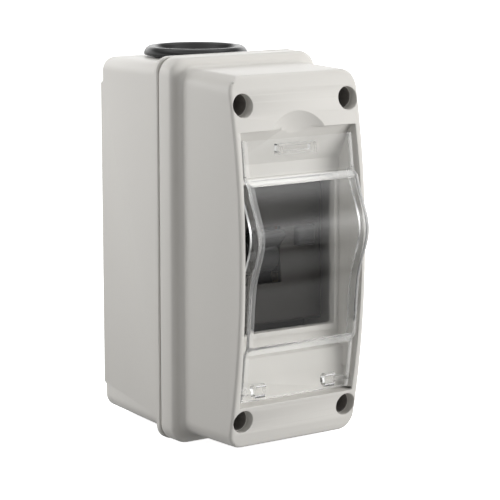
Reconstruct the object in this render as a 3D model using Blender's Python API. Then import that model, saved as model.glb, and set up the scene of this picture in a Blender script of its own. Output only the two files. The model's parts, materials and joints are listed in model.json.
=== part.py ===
"""A two-module residual current device in its wall box: box, lid, hinged clear window, device on its rail.

Frame: metres, +Z up, front towards -Y, origin at the centre of the wall face. Sizes are millimetres times MM.
"""

import math

import bmesh
import bpy
from mathutils import Matrix, Vector

MM = 0.001
GAP = 0.3 * MM

# Box, the rear half of the enclosure
BOX_BACK_SIZE = (49.7 * MM, 118.0 * MM)
BOX_FRONT_SIZE = (51.6 * MM, 119.7 * MM)
BOX_DEPTH = 40.0 * MM
BOX_WALL = 2.2 * MM
BOX_FLOOR = 2.6 * MM
PAD_HEIGHT = 102.0 * MM
PAD_STEP = 1.3 * MM
FLANGE_SIZE = (56.0 * MM, 123.8 * MM)
FLANGE_LIP = 2.0 * MM
WALL_SCREW_Z = 44.0 * MM

# Lid, the front half, with a face that is an arc of large radius
SHOULDER_Y = -46.8 * MM
LID_ROOT_Y = -48.2 * MM
LID_ROOT_SIZE = (49.3 * MM, 117.5 * MM)
LID_FACE_SIZE = (48.3 * MM, 116.0 * MM)
FACE_Y = -80.6 * MM
FACE_RADIUS = 251.0 * MM
LID_WALL = 2.2 * MM

# Bay in the lid's face, the mask at its bottom and the cut-out for the device
BAY_TOP = 41.2 * MM
BAY_BOTTOM = -44.6 * MM
BAY_HALF_WIDTH_FRONT = 22.4 * MM
BAY_HALF_WIDTH_BACK = 20.7 * MM
RELIEF_HALF_WIDTH = 21.6 * MM
MASK_Y = -68.8 * MM
MASK_BACK_Y = -66.8 * MM
RIM_Y = -69.6 * MM
RIM_WIDTH = 2.0 * MM
SHELF_Y = -71.2 * MM
SHELF_TOP = -29.4 * MM
RAMP_Z = 31.0 * MM
RAMP_TOP_Y = -75.4 * MM
CUTOUT_SIZE = (37.1 * MM, 46.8 * MM)
SCOOP_RADIUS = 20.8 * MM
SCOOP_CENTRE = (0.0, -95.1 * MM, 38.0 * MM)
SCOOP_WALL = 1.6 * MM

# Lid screws in deep stepped wells
SCREW_X = 19.9 * MM
SCREW_Z = 49.3 * MM
WELL_RADIUS = 3.6 * MM
WELL_DEPTH = 3.4 * MM
SHANK_WELL_RADIUS = 3.2 * MM
SCREW_SEAT_Y = -47.0 * MM
POST_RADIUS = 4.7 * MM

# Window, a clear panel with a bell-shaped bulge over the toggle
WINDOW_TOP = 38.6 * MM
WINDOW_BOTTOM = -43.0 * MM
WINDOW_HALF_WIDTH = 21.2 * MM
WINDOW_THICKNESS = 1.8 * MM
WINDOW_SET_BACK = 0.45 * MM
STEP_HEIGHT = 1.4 * MM
STEP_LOW = (-28.0 * MM, -25.2 * MM)
STEP_HIGH = (25.2 * MM, 27.6 * MM)
BULGE_HEIGHT = 5.3 * MM
BULGE_Z = 9.3 * MM
BULGE_SPREAD = 10.9 * MM
CHEEK_DEPTH = 5.5 * MM
CHEEK_THICKNESS = 1.6 * MM
HINGE_Y = -74.4 * MM
HINGE_Z = -40.2 * MM
PIN_RADIUS = 1.0 * MM
EDGE_CHAMFER = 0.8 * MM

# Rubber cable entry in the top of the box
GLAND_Y = -19.6 * MM
GLAND_RADIUS = 17.0 * MM

# DIN rail, 35 mm top-hat section
RAIL_BACK_Y = -3.7 * MM
RAIL_DEPTH = 7.5 * MM
RAIL_SHEET = 1.0 * MM
RAIL_HALF_HEIGHT = 17.5 * MM
RAIL_HALF_WEB = 13.5 * MM
RAIL_HALF_LENGTH = 21.5 * MM
RAIL_SCREW_X = 12.0 * MM

# Device, two modules wide
DEVICE_HALF_WIDTH = 17.8 * MM
DEVICE_HALF_HEIGHT = 42.5 * MM
DEVICE_BACK_Y = -11.5 * MM
DEVICE_SPLIT_Y = -34.0 * MM
SHOULDER_FRONT_Y = -55.5 * MM
NOSE_FRONT_Y = -64.6 * MM
NOSE_HALF_HEIGHT = 22.4 * MM
DEVICE_WALL = 1.5 * MM
POLE_X = 9.0 * MM
TERMINAL_Z = 34.0 * MM
TOGGLE_X = -4.0 * MM
TOGGLE_Y = -58.5 * MM
TOGGLE_RADIUS = 6.6 * MM
TOGGLE_HALF_WIDTH = 6.5 * MM
TOGGLE_REST_ANGLE = math.radians(38.0)
CARRIER_Y = -46.2 * MM
CARRIER_Z = -2.0 * MM
BUTTON_X = 11.5 * MM
BUTTON_Z = 5.0 * MM
TOROID_CENTRE = (0.0, -24.0 * MM, -17.0 * MM)
RELAY_X = -9.0 * MM
RELAY_Y = -24.0 * MM

MATERIALS = {
    "enclosure_plastic": ((0.66, 0.65, 0.62), 0.42, 0.0),
    "clear_window": ((0.85, 0.86, 0.86), 0.05, 0.0),
    "black_rubber": ((0.02, 0.02, 0.02), 0.6, 0.0),
    "device_plastic": ((0.045, 0.042, 0.041), 0.45, 0.0),
    "toggle_plastic": ((0.03, 0.03, 0.03), 0.35, 0.0),
    "inner_plastic": ((0.10, 0.10, 0.10), 0.5, 0.0),
    "zinc_steel": ((0.55, 0.56, 0.57), 0.3, 1.0),
    "copper": ((0.72, 0.35, 0.2), 0.3, 1.0),
    "winding": ((0.5, 0.16, 0.06), 0.35, 0.4),
    "brass": ((0.7, 0.52, 0.22), 0.3, 1.0),
    "core_epoxy": ((0.05, 0.12, 0.2), 0.5, 0.0),
    "resistor_glaze": ((0.35, 0.3, 0.2), 0.4, 0.0),
}


def clear_scene():
    for thing in list(bpy.data.objects):
        bpy.data.objects.remove(thing, do_unlink=True)


def collection(name):
    made = bpy.data.collections.new(name)
    bpy.context.scene.collection.children.link(made)
    return made


def material(name):
    found = bpy.data.materials.get(name)
    if found:
        return found
    colour, roughness, metallic = MATERIALS[name]
    made = bpy.data.materials.new(name)
    made.use_nodes = True
    shader = made.node_tree.nodes["Principled BSDF"]
    shader.inputs["Base Color"].default_value = (*colour, 1.0)
    shader.inputs["Roughness"].default_value = roughness
    shader.inputs["Metallic"].default_value = metallic
    if name == "clear_window":
        shader.inputs["Transmission Weight"].default_value = 1.0
    return made


def mesh_object(name, shape):
    """A bmesh made an object in the parts' collection."""
    bmesh.ops.recalc_face_normals(shape, faces=shape.faces)
    mesh = bpy.data.meshes.new(name)
    shape.to_mesh(mesh)
    shape.free()
    made = bpy.data.objects.new(name, mesh)
    PARTS.objects.link(made)
    return made


def box(name, low, high):
    """A block between two corners, from the cube primitive."""
    low, high = Vector(low), Vector(high)
    shape = bmesh.new()
    bmesh.ops.create_cube(shape, size=1.0)
    bmesh.ops.scale(shape, vec=high - low, verts=shape.verts)
    bmesh.ops.translate(shape, vec=(low + high) / 2, verts=shape.verts)
    return mesh_object(name, shape)


def rod(name, start, end, radius, end_radius=None, sides=24):
    """A cylinder or cone from one point to another."""
    start, end = Vector(start), Vector(end)
    along = end - start
    shape = bmesh.new()
    last = radius if end_radius is None else end_radius
    bmesh.ops.create_cone(
        shape, cap_ends=True, segments=sides, radius1=radius, radius2=last, depth=along.length
    )
    turn = Vector((0, 0, 1)).rotation_difference(along).to_matrix().to_4x4()
    bmesh.ops.transform(shape, matrix=Matrix.Translation((start + end) / 2) @ turn, verts=shape.verts)
    return mesh_object(name, shape)


def rounded_rectangle(width, height, radius, centre_z, steps=5):
    """(x, z) points round a rectangle with round corners."""
    points = []
    for turn in range(4):
        sign_x = (1, -1, -1, 1)[turn]
        sign_z = (1, 1, -1, -1)[turn]
        for step in range(steps + 1):
            angle = math.pi / 2 * (turn + step / steps)
            x = sign_x * (width / 2 - radius) + radius * math.cos(angle)
            z = sign_z * (height / 2 - radius) + radius * math.sin(angle)
            points.append((x, z + centre_z))
    return points


def loft(name, sections, steps=5):
    """A solid through rounded rectangles (y, width, height, radius, centre_z), closed at both ends."""
    shape = bmesh.new()
    rings = []
    for y, width, height, radius, centre_z in sections:
        outline = rounded_rectangle(width, height, radius, centre_z, steps)
        rings.append([shape.verts.new((x, y, z)) for x, z in outline])
    count = len(rings[0])
    for first, second in zip(rings, rings[1:]):
        for i in range(count):
            j = (i + 1) % count
            shape.faces.new((first[i], first[j], second[j], second[i]))
    shape.faces.new(rings[0])
    shape.faces.new(rings[-1])
    return mesh_object(name, shape)


def slab(name, outline, low_x, high_x):
    """A prism: a (y, z) outline extruded along X."""
    shape = bmesh.new()
    face = shape.faces.new([shape.verts.new((low_x, y, z)) for y, z in outline])
    grown = bmesh.ops.extrude_face_region(shape, geom=[face])
    moved = [item for item in grown["geom"] if isinstance(item, bmesh.types.BMVert)]
    bmesh.ops.translate(shape, vec=(high_x - low_x, 0, 0), verts=moved)
    return mesh_object(name, shape)


def turned(name, profile, centre, axis="Z", sides=48):
    """A closed (radius, height) outline spun round an axis through centre."""
    shape = bmesh.new()
    ring = [shape.verts.new((radius, 0, height)) for radius, height in profile]
    edges = [shape.edges.new((ring[i], ring[(i + 1) % len(ring)])) for i in range(len(ring))]
    bmesh.ops.spin(
        shape, geom=ring + edges, cent=(0, 0, 0), axis=(0, 0, 1), angle=math.tau, steps=sides, use_merge=True
    )
    bmesh.ops.remove_doubles(shape, verts=shape.verts, dist=1e-7)
    if axis == "Y":
        turn = Matrix.Rotation(math.pi / 2, 3, "X")
        bmesh.ops.rotate(shape, cent=(0, 0, 0), matrix=turn, verts=shape.verts)
    bmesh.ops.translate(shape, vec=centre, verts=shape.verts)
    return mesh_object(name, shape)


def wire(name, points, radius, resolution=2):
    """A round wire along straight runs between points."""
    curve = bpy.data.curves.new(name, "CURVE")
    curve.dimensions = "3D"
    curve.bevel_depth = radius
    curve.bevel_resolution = resolution
    curve.use_fill_caps = True
    spline = curve.splines.new("POLY")
    spline.points.add(len(points) - 1)
    for place, point in zip(spline.points, points):
        place.co = (*point, 1.0)
    made = bpy.data.objects.new(name, curve)
    PARTS.objects.link(made)
    return made


def helix(centre, axis, radius, length, turns, per_turn=9):
    """Points of a coil whose axis is +X or +Y, starting at centre."""
    points = []
    for i in range(turns * per_turn + 1):
        angle = math.tau * i / per_turn
        along = length * i / (turns * per_turn)
        a, b = radius * math.cos(angle), radius * math.sin(angle)
        offset = (along, a, b) if axis == "X" else (a, along, b)
        points.append(tuple(c + o for c, o in zip(centre, offset)))
    return points


def closed(mesh):
    """True where every edge has two faces."""
    shape = bmesh.new()
    shape.from_mesh(mesh)
    whole = all(len(edge.link_faces) == 2 for edge in shape.edges)
    shape.free()
    return whole


def boolean(target, other, operation):
    """Applies the change at once, with the second solver where the first leaves the mesh open."""
    modifier = target.modifiers.new(operation.lower(), "BOOLEAN")
    modifier.object = other
    modifier.operation = operation
    for solver in ("EXACT", "MANIFOLD"):
        modifier.solver = solver
        graph = bpy.context.evaluated_depsgraph_get()
        graph.update()
        result = bpy.data.meshes.new_from_object(target.evaluated_get(graph))
        if closed(result):
            break
    target.modifiers.clear()
    target.data = result
    bpy.data.objects.remove(other, do_unlink=True)


def cut(target, *others):
    for other in others:
        boolean(target, other, "DIFFERENCE")
    return target


def join(target, *others):
    for other in others:
        boolean(target, other, "UNION")
    return target


def keep(target, other):
    boolean(target, other, "INTERSECT")
    return target


def finish(thing, material_name, sharp_degrees=35):
    """Gives a sub-part its material, its shading and its clean mesh."""
    if thing.type == "MESH":
        shape = bmesh.new()
        shape.from_mesh(thing.data)
        bmesh.ops.dissolve_limit(
            shape, angle_limit=math.radians(0.05), verts=shape.verts, edges=shape.edges
        )
        shape.to_mesh(thing.data)
        shape.free()
        thing.data.shade_smooth()
        thing.data.set_sharp_from_angle(angle=math.radians(sharp_degrees))
    thing.data.materials.clear()
    thing.data.materials.append(material(material_name))
    return thing


def corners(x, z):
    return [(side * x, end * z) for end in (1, -1) for side in (-1, 1)]


def face_depth(z):
    """Y of the lid's bowed face at height z."""
    return FACE_Y + FACE_RADIUS - math.sqrt(FACE_RADIUS**2 - z**2)


def make_box():
    body = loft(
        "base_box",
        [
            (0.0, *BOX_BACK_SIZE, 4.5 * MM, 0.0),
            (-BOX_DEPTH + FLANGE_LIP + 1.0 * MM, *BOX_FRONT_SIZE, 4.9 * MM, 0.0),
            (-BOX_DEPTH + FLANGE_LIP, *FLANGE_SIZE, 6.0 * MM, 0.0),
            (-BOX_DEPTH, *FLANGE_SIZE, 6.0 * MM, 0.0),
        ],
    )
    wide, tall = BOX_BACK_SIZE
    for end in (1, -1):
        z_near, z_far = sorted((end * PAD_HEIGHT / 2, end * tall))
        cut(body, box("pad_step", (-wide, -PAD_STEP, z_near), (wide, wide, z_far)))
    inside = [size - 2 * BOX_WALL for size in BOX_BACK_SIZE]
    hollow = loft(
        "hollow",
        [
            (-BOX_FLOOR, *inside, 3.0 * MM, 0.0),
            (-BOX_DEPTH - 1 * MM, inside[0] + 1.6 * MM, inside[1] + 1.6 * MM, 3.2 * MM, 0.0),
        ],
    )
    for x, z in corners(SCREW_X, SCREW_Z):
        cut(hollow, rod("post", (x, 0, z), (x, -BOX_DEPTH - 2 * MM, z), POST_RADIUS, sides=28))
    for side in (-1, 1):
        x = side * RAIL_SCREW_X
        cut(hollow, rod("boss", (x, 0, 0), (x, RAIL_BACK_Y + GAP, 0), 3.6 * MM))
    cut(body, hollow)
    for x, z in corners(SCREW_X, SCREW_Z):
        cut(body, rod("screw_hole", (x, -14 * MM, z), (x, -BOX_DEPTH - 1 * MM, z), 1.8 * MM, sides=16))
    for side in (-1, 1):
        x = side * RAIL_SCREW_X
        cut(body, rod("rail_hole", (x, -1.2 * MM, 0), (x, -6 * MM, 0), 1.5 * MM, sides=16))
        z = side * WALL_SCREW_Z
        cut(body, rod("wall_hole", (0, 2 * MM, z), (0, -6 * MM, z), 2.3 * MM, sides=20))
    top = BOX_BACK_SIZE[1] / 2
    cut(body, rod("entry", (0, GLAND_Y, top - 6 * MM), (0, GLAND_Y, top + 6 * MM), 14.0 * MM, sides=48))
    cut(body, gasket_ring("groove", 1.1 * MM, -BOX_DEPTH + 1.5 * MM, -BOX_DEPTH - 1 * MM))
    finish(body, "enclosure_plastic")


def gasket_ring(name, half_width, low_y, high_y):
    """A ring of rectangular section that follows the flange."""
    middle = (BOX_FRONT_SIZE[0] - 0.4 * MM, BOX_FRONT_SIZE[1] - 0.4 * MM)
    loops = []
    for grow in (half_width, -half_width):
        width, height = (size + 2 * grow for size in middle)
        loops.append((width, height, 5.0 * MM + grow))
    inner_low, inner_high = low_y + 1 * MM, high_y - 1 * MM
    ring = loft(name, [(low_y, *loops[0], 0.0), (high_y, *loops[0], 0.0)])
    cut(ring, loft("ring_hole", [(inner_low, *loops[1], 0.0), (inner_high, *loops[1], 0.0)]))
    return ring


def make_gasket():
    finish(gasket_ring("lid_gasket", 0.8 * MM, -BOX_DEPTH + 1.2 * MM, -BOX_DEPTH), "black_rubber")


def bay_cutter():
    """The space in front of the mask: a profile along Z, narrowed towards the mask."""
    front = FACE_Y - 4 * MM
    outline = [
        (front, BAY_BOTTOM),
        (SHELF_Y, BAY_BOTTOM),
        (SHELF_Y, SHELF_TOP - 1.4 * MM),
        (MASK_Y, SHELF_TOP),
        (MASK_Y, RAMP_Z - 1 * MM),
        (RAMP_TOP_Y, BAY_TOP),
        (front, BAY_TOP),
    ]
    space = slab("bay", outline, -BAY_HALF_WIDTH_FRONT, BAY_HALF_WIDTH_FRONT)
    depth = RIM_Y - FACE_Y
    slope = (BAY_HALF_WIDTH_FRONT - BAY_HALF_WIDTH_BACK) / depth
    sections = []
    for y in (MASK_Y + 2 * MM, front - 1 * MM):
        width = 2 * (BAY_HALF_WIDTH_BACK + slope * (RIM_Y - y))
        sections.append((y, width, 120 * MM, 0.5 * MM, 0.0))
    return keep(space, loft("taper", sections, steps=1))


def lid_hollow():
    """The lid's inner space: it follows the face, the ramp, the mask and the shelf at one wall thickness."""
    end = LID_FACE_SIZE[1] / 2 - LID_WALL
    outline = [
        (-BOX_DEPTH, end),
        (face_depth(end) + LID_WALL, end),
        (face_depth(BAY_TOP) + LID_WALL, BAY_TOP + LID_WALL),
        (RAMP_TOP_Y + LID_WALL, BAY_TOP + 0.4 * MM),
        (MASK_BACK_Y, RAMP_Z + 0.4 * MM),
        (MASK_BACK_Y, SHELF_TOP + 0.6 * MM),
        (SHELF_Y + LID_WALL, SHELF_TOP - 1.4 * MM),
        (SHELF_Y + LID_WALL, BAY_BOTTOM - LID_WALL),
        (face_depth(BAY_BOTTOM) + LID_WALL, BAY_BOTTOM - LID_WALL),
        (face_depth(end) + LID_WALL, -end),
        (-BOX_DEPTH, -end),
    ]
    half = LID_FACE_SIZE[0] / 2 - LID_WALL
    return slab("lid_hollow", outline, -half, half)


def scoop_ball(name, radius):
    """The ball that leaves the finger scoop over the window's top edge."""
    ball = bmesh.new()
    bmesh.ops.create_uvsphere(ball, u_segments=72, v_segments=48, radius=radius)
    bmesh.ops.translate(ball, vec=SCOOP_CENTRE, verts=ball.verts)
    return keep(
        mesh_object(name, ball),
        box("scoop_reach", (-20 * MM, -90 * MM, BAY_TOP - 3 * MM), (20 * MM, -60 * MM, 60 * MM)),
    )


def make_lid():
    back = -BOX_DEPTH - GAP
    root_w, root_h = LID_ROOT_SIZE
    body = loft(
        "lid",
        [
            (back, *FLANGE_SIZE, 6.0 * MM, 0.0),
            (SHOULDER_Y, *FLANGE_SIZE, 6.0 * MM, 0.0),
            (LID_ROOT_Y, 54.6 * MM, 122.4 * MM, 5.3 * MM, 0.0),
            (LID_ROOT_Y - 0.1 * MM, 52.6 * MM, 120.6 * MM, 5.3 * MM, 0.0),
            (LID_ROOT_Y - 0.8 * MM, root_w + 1.2 * MM, root_h + 1.2 * MM, 5.3 * MM, 0.0),
            (LID_ROOT_Y - 2.4 * MM, root_w, root_h, 5.2 * MM, 0.0),
            (FACE_Y - 1 * MM, *LID_FACE_SIZE, 5.0 * MM, 0.0),
        ],
        steps=6,
    )
    centre = FACE_Y + FACE_RADIUS
    keep(body, rod("bow", (-40 * MM, centre, 0), (40 * MM, centre, 0), FACE_RADIUS, sides=360))
    hollow = lid_hollow()
    for x, z in corners(SCREW_X, SCREW_Z):
        cut(hollow, rod("post", (x, 0, z), (x, FACE_Y, z), POST_RADIUS, sides=28))
    cut(hollow, scoop_ball("scoop_wall", SCOOP_RADIUS + SCOOP_WALL))
    cut(body, hollow)
    wide_mouth = [size - 2 * 4.2 * MM for size in FLANGE_SIZE]
    mouth_depths = (back + 1 * MM, back - 1.2 * MM)
    cut(body, loft("mouth", [(y, *wide_mouth, 3 * MM, 0) for y in mouth_depths]))
    cut(body, bay_cutter())
    rim_w, rim_h = (size + 2 * RIM_WIDTH for size in CUTOUT_SIZE)
    join(body, loft("rim", [(y, rim_w, rim_h, 1.0 * MM, 0) for y in (MASK_Y + 1 * MM, RIM_Y)]))
    cut(body, loft("cutout", [(y, *CUTOUT_SIZE, 0.6 * MM, 0) for y in (-60 * MM, -75 * MM)]))
    for x, z in corners(SCREW_X, SCREW_Z):
        front = face_depth(z)
        cut(
            body,
            rod("well", (x, front - 6 * MM, z), (x, front + WELL_DEPTH, z), WELL_RADIUS, sides=32),
            rod("deep_well", (x, FACE_Y, z), (x, SCREW_SEAT_Y, z), SHANK_WELL_RADIUS, sides=28),
            rod("screw_way", (x, -60 * MM, z), (x, -39 * MM, z), 1.8 * MM, sides=16),
        )
    relief = box(
        "hinge_relief",
        (-RELIEF_HALF_WIDTH, SHELF_Y - 5.2 * MM, BAY_BOTTOM),
        (RELIEF_HALF_WIDTH, SHELF_Y, HINGE_Z + 3 * MM),
    )
    cut(body, scoop_ball("scoop", SCOOP_RADIUS), relief)
    for side in (-1, 1):
        start, end = side * 20.5 * MM, side * 23.0 * MM
        cut(body, rod("socket", (start, HINGE_Y, HINGE_Z), (end, HINGE_Y, HINGE_Z), 1.35 * MM, sides=16))
    finish(body, "enclosure_plastic", 25)


def smooth_step(value, low, high):
    t = min(1.0, max(0.0, (value - low) / (high - low)))
    return t * t * (3 - 2 * t)


def window_depth(z):
    """Y of the window's outer surface at height z: set back at the ends, raised and bulged between steps."""
    raised = smooth_step(z, *STEP_LOW) * (1 - smooth_step(z, *STEP_HIGH))
    bulge = math.exp(-(((z - BULGE_Z) / BULGE_SPREAD) ** 2)) * raised
    return face_depth(z) + WINDOW_SET_BACK - STEP_HEIGHT * raised - BULGE_HEIGHT * bulge


def heights(low, high, count):
    return [low + (high - low) * i / count for i in range(count + 1)]


def window_strip(levels, start, depth):
    """The outline between two depths behind the outer surface."""
    surface = [(window_depth(z), z) for z in levels]
    return [(y + start, z) for y, z in surface] + [(y + depth, z) for y, z in reversed(surface)]


def make_window():
    whole = heights(WINDOW_BOTTOM + EDGE_CHAMFER, WINDOW_TOP, 60)
    outline = window_strip(whole, 0.0, WINDOW_THICKNESS)
    foot = window_depth(WINDOW_BOTTOM)
    outline += [(foot + WINDOW_THICKNESS, WINDOW_BOTTOM), (foot + EDGE_CHAMFER, WINDOW_BOTTOM)]
    panel = slab("window", outline, -WINDOW_HALF_WIDTH, WINDOW_HALF_WIDTH)
    web_front = window_depth(HINGE_Z) + 1.2 * MM
    cheek_levels = heights(-26.7 * MM, 26.3 * MM, 40)
    for side in (-1, 1):
        inner, outer = sorted((side * (WINDOW_HALF_WIDTH - CHEEK_THICKNESS), side * WINDOW_HALF_WIDTH))
        cheek = window_strip(cheek_levels, WINDOW_THICKNESS / 2, CHEEK_DEPTH)
        join(panel, slab("cheek", cheek, inner, outer))
        knuckle_in, knuckle_out = side * 11.6 * MM, side * 15.4 * MM
        low_x, high_x = sorted((knuckle_in, knuckle_out))
        join(
            panel,
            box(
                "web",
                (low_x, web_front, HINGE_Z - 1.6 * MM),
                (high_x, HINGE_Y + 1 * MM, HINGE_Z + 1.8 * MM),
            ),
            rod("knuckle", (low_x, HINGE_Y, HINGE_Z), (high_x, HINGE_Y, HINGE_Z), 2.2 * MM),
            rod(
                "hinge_pin",
                (side * 15.0 * MM, HINGE_Y, HINGE_Z),
                (side * 22.4 * MM, HINGE_Y, HINGE_Z),
                PIN_RADIUS,
                sides=16,
            ),
        )
    hook_y = window_depth(35 * MM)
    catch_back = hook_y + 4.2 * MM
    join(panel, box("catch", (-7 * MM, hook_y + 1 * MM, 33.4 * MM), (7 * MM, catch_back, 36.6 * MM)))
    slot_front = hook_y + 2.2 * MM
    cut(panel, box("catch_slot", (-5.4 * MM, slot_front, 34.2 * MM), (5.4 * MM, -60 * MM, 35.8 * MM)))
    finish(panel, "clear_window", 25)


def make_lid_screws():
    for number, (x, z) in enumerate(corners(SCREW_X, SCREW_Z), 1):
        seat = SCREW_SEAT_Y - GAP
        screw = turned(
            f"lid_screw_{number}",
            [
                (0.0, 0.0),
                (1.0 * MM, 0.0),
                (1.5 * MM, 1.5 * MM),
                (1.5 * MM, 21.0 * MM),
                (2.9 * MM, 21.0 * MM),
                (2.9 * MM, 23.6 * MM),
                (2.5 * MM, 24.2 * MM),
                (0.0, 24.2 * MM),
            ],
            (x, seat + 21.0 * MM, z),
            axis="Y",
            sides=20,
        )
        top = seat - 3.2 * MM
        for turn in (0, 1):
            wide, tall = (2.0 * MM, 0.4 * MM) if turn else (0.4 * MM, 2.0 * MM)
            cut(
                screw,
                box("recess", (x - wide, top - 1 * MM, z - tall), (x + wide, top + 1.4 * MM, z + tall)),
            )
        finish(screw, "zinc_steel")


def make_gland():
    """One moulding: a collar outside, a neck through the wall, a lip inside and a thin sunken membrane."""
    outside = BOX_FRONT_SIZE[1] / 2 + 0.1 * MM
    inside = BOX_BACK_SIZE[1] / 2 - BOX_WALL - 0.5 * MM
    gland = turned(
        "cable_gland",
        [
            (0.0, outside - 1.4 * MM),
            (0.0, outside - 0.4 * MM),
            (9.6 * MM, outside - 0.2 * MM),
            (12.4 * MM, outside + 1.2 * MM),
            (13.4 * MM, outside + 2.9 * MM),
            (15.4 * MM, outside + 3.0 * MM),
            (GLAND_RADIUS - 0.3 * MM, outside + 1.9 * MM),
            (GLAND_RADIUS, outside + 0.3 * MM),
            (13.7 * MM, outside + 0.3 * MM),
            (13.7 * MM, inside - 0.3 * MM),
            (15.2 * MM, inside - 0.4 * MM),
            (14.2 * MM, inside - 2.4 * MM),
            (12.0 * MM, inside - 2.4 * MM),
            (11.4 * MM, outside - 1.6 * MM),
        ],
        (0, GLAND_Y, 0),
        sides=40,
    )
    finish(gland, "black_rubber")


def make_rail():
    web_front = RAIL_BACK_Y - RAIL_SHEET
    flange_back = RAIL_BACK_Y - RAIL_DEPTH + RAIL_SHEET
    upper = [
        (RAIL_BACK_Y, RAIL_HALF_WEB),
        (flange_back, RAIL_HALF_WEB),
        (flange_back, RAIL_HALF_HEIGHT),
        (flange_back - RAIL_SHEET, RAIL_HALF_HEIGHT),
        (flange_back - RAIL_SHEET, RAIL_HALF_WEB - RAIL_SHEET),
        (web_front, RAIL_HALF_WEB - RAIL_SHEET),
    ]
    outline = upper + [(y, -z) for y, z in reversed(upper)]
    rail = slab("din_rail", outline, -RAIL_HALF_LENGTH, RAIL_HALF_LENGTH)
    for side in (-1, 1):
        x = side * RAIL_SCREW_X
        cut(rail, rod("rail_way", (x, -2 * MM, 0), (x, -7 * MM, 0), 1.7 * MM, sides=16))
        screw = turned(
            f"rail_screw_{'left' if side < 0 else 'right'}",
            [
                (0.0, -2.6 * MM),
                (1.2 * MM, -2.6 * MM),
                (1.2 * MM, 0.3 * MM),
                (2.7 * MM, 0.3 * MM),
                (2.2 * MM, 2.0 * MM),
                (0.0, 2.2 * MM),
            ],
            (x, web_front, 0),
            axis="Y",
            sides=20,
        )
        finish(screw, "zinc_steel")
    finish(rail, "zinc_steel")


def make_earth_terminal():
    """A brass earth bar in a plastic cradle under the device, with two clamp screws."""
    low, high = -55.0 * MM, -47.4 * MM
    floor = -BOX_FLOOR - GAP
    cradle = box("earth_cradle", (-10.6 * MM, floor - 5.0 * MM, low), (10.6 * MM, floor, high))
    seat_low, seat_high = low + 1 * MM, high - 1 * MM
    cut(cradle, box("seat", (-9.2 * MM, floor - 8 * MM, seat_low), (9.2 * MM, floor - 2 * MM, seat_high)))
    finish(cradle, "inner_plastic")
    back, front = floor - 2.3 * MM, floor - 9.6 * MM
    bar = box("earth_bar", (-8.9 * MM, front, low + 1.3 * MM), (8.9 * MM, back, high - 1.3 * MM))
    middle = (low + high) / 2
    for number, x in enumerate((-4.6 * MM, 4.6 * MM), 1):
        cut(
            bar,
            rod("wire_way", (x, back - 2.6 * MM, low), (x, back - 2.6 * MM, high), 1.7 * MM, sides=16),
            rod("thread", (x, front - 1 * MM, middle), (x, back - 3 * MM, middle), 1.6 * MM, sides=16),
        )
        ends = [(x, front + along, middle) for along in (-1.6 * MM, 3.2 * MM)]
        screw = rod(f"earth_screw_{number}", *ends, 1.3 * MM)
        slot = box(
            "slot",
            (x - 2 * MM, front - 2 * MM, middle - 0.25 * MM),
            (x + 2 * MM, front - 0.9 * MM, middle + 0.25 * MM),
        )
        finish(cut(screw, slot), "brass")
    finish(bar, "brass")


def device_shell(name, sections_y, half_height):
    width = 2 * DEVICE_HALF_WIDTH
    return loft(name, [(y, width, 2 * half_height, 0.6 * MM, 0.0) for y in sections_y], steps=2)


def hollow_box(name, low_y, high_y, half_height):
    half = DEVICE_HALF_WIDTH - DEVICE_WALL
    return box(name, (-half, low_y, -half_height), (half, high_y, half_height))


def make_rear_housing():
    body = device_shell("device_rear_housing", (DEVICE_BACK_Y, DEVICE_SPLIT_Y), DEVICE_HALF_HEIGHT)
    inner = DEVICE_HALF_HEIGHT - DEVICE_WALL
    cut(body, hollow_box("hollow", DEVICE_SPLIT_Y - 1 * MM, DEVICE_BACK_Y - DEVICE_WALL, inner))
    flange_back = RAIL_BACK_Y - RAIL_DEPTH + RAIL_SHEET
    hook = RAIL_HALF_HEIGHT + GAP
    hook_back = flange_back + 2.4 * MM
    join(
        body,
        box("hook", (-15 * MM, DEVICE_BACK_Y - 0.5 * MM, hook), (15 * MM, hook_back, hook + 2.6 * MM)),
        box("hook_lip", (-15 * MM, flange_back + GAP, hook - 1.6 * MM), (15 * MM, hook_back, hook + 1 * MM)),
    )
    for side in (-1, 1):
        low_x, high_x = sorted((side * 6.8 * MM, side * 9.4 * MM))
        join(
            body,
            box("clip_guide", (low_x, DEVICE_BACK_Y - 0.5 * MM, -41 * MM), (high_x, -8.4 * MM, -19.4 * MM)),
        )
    finish(body, "device_plastic")


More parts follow.
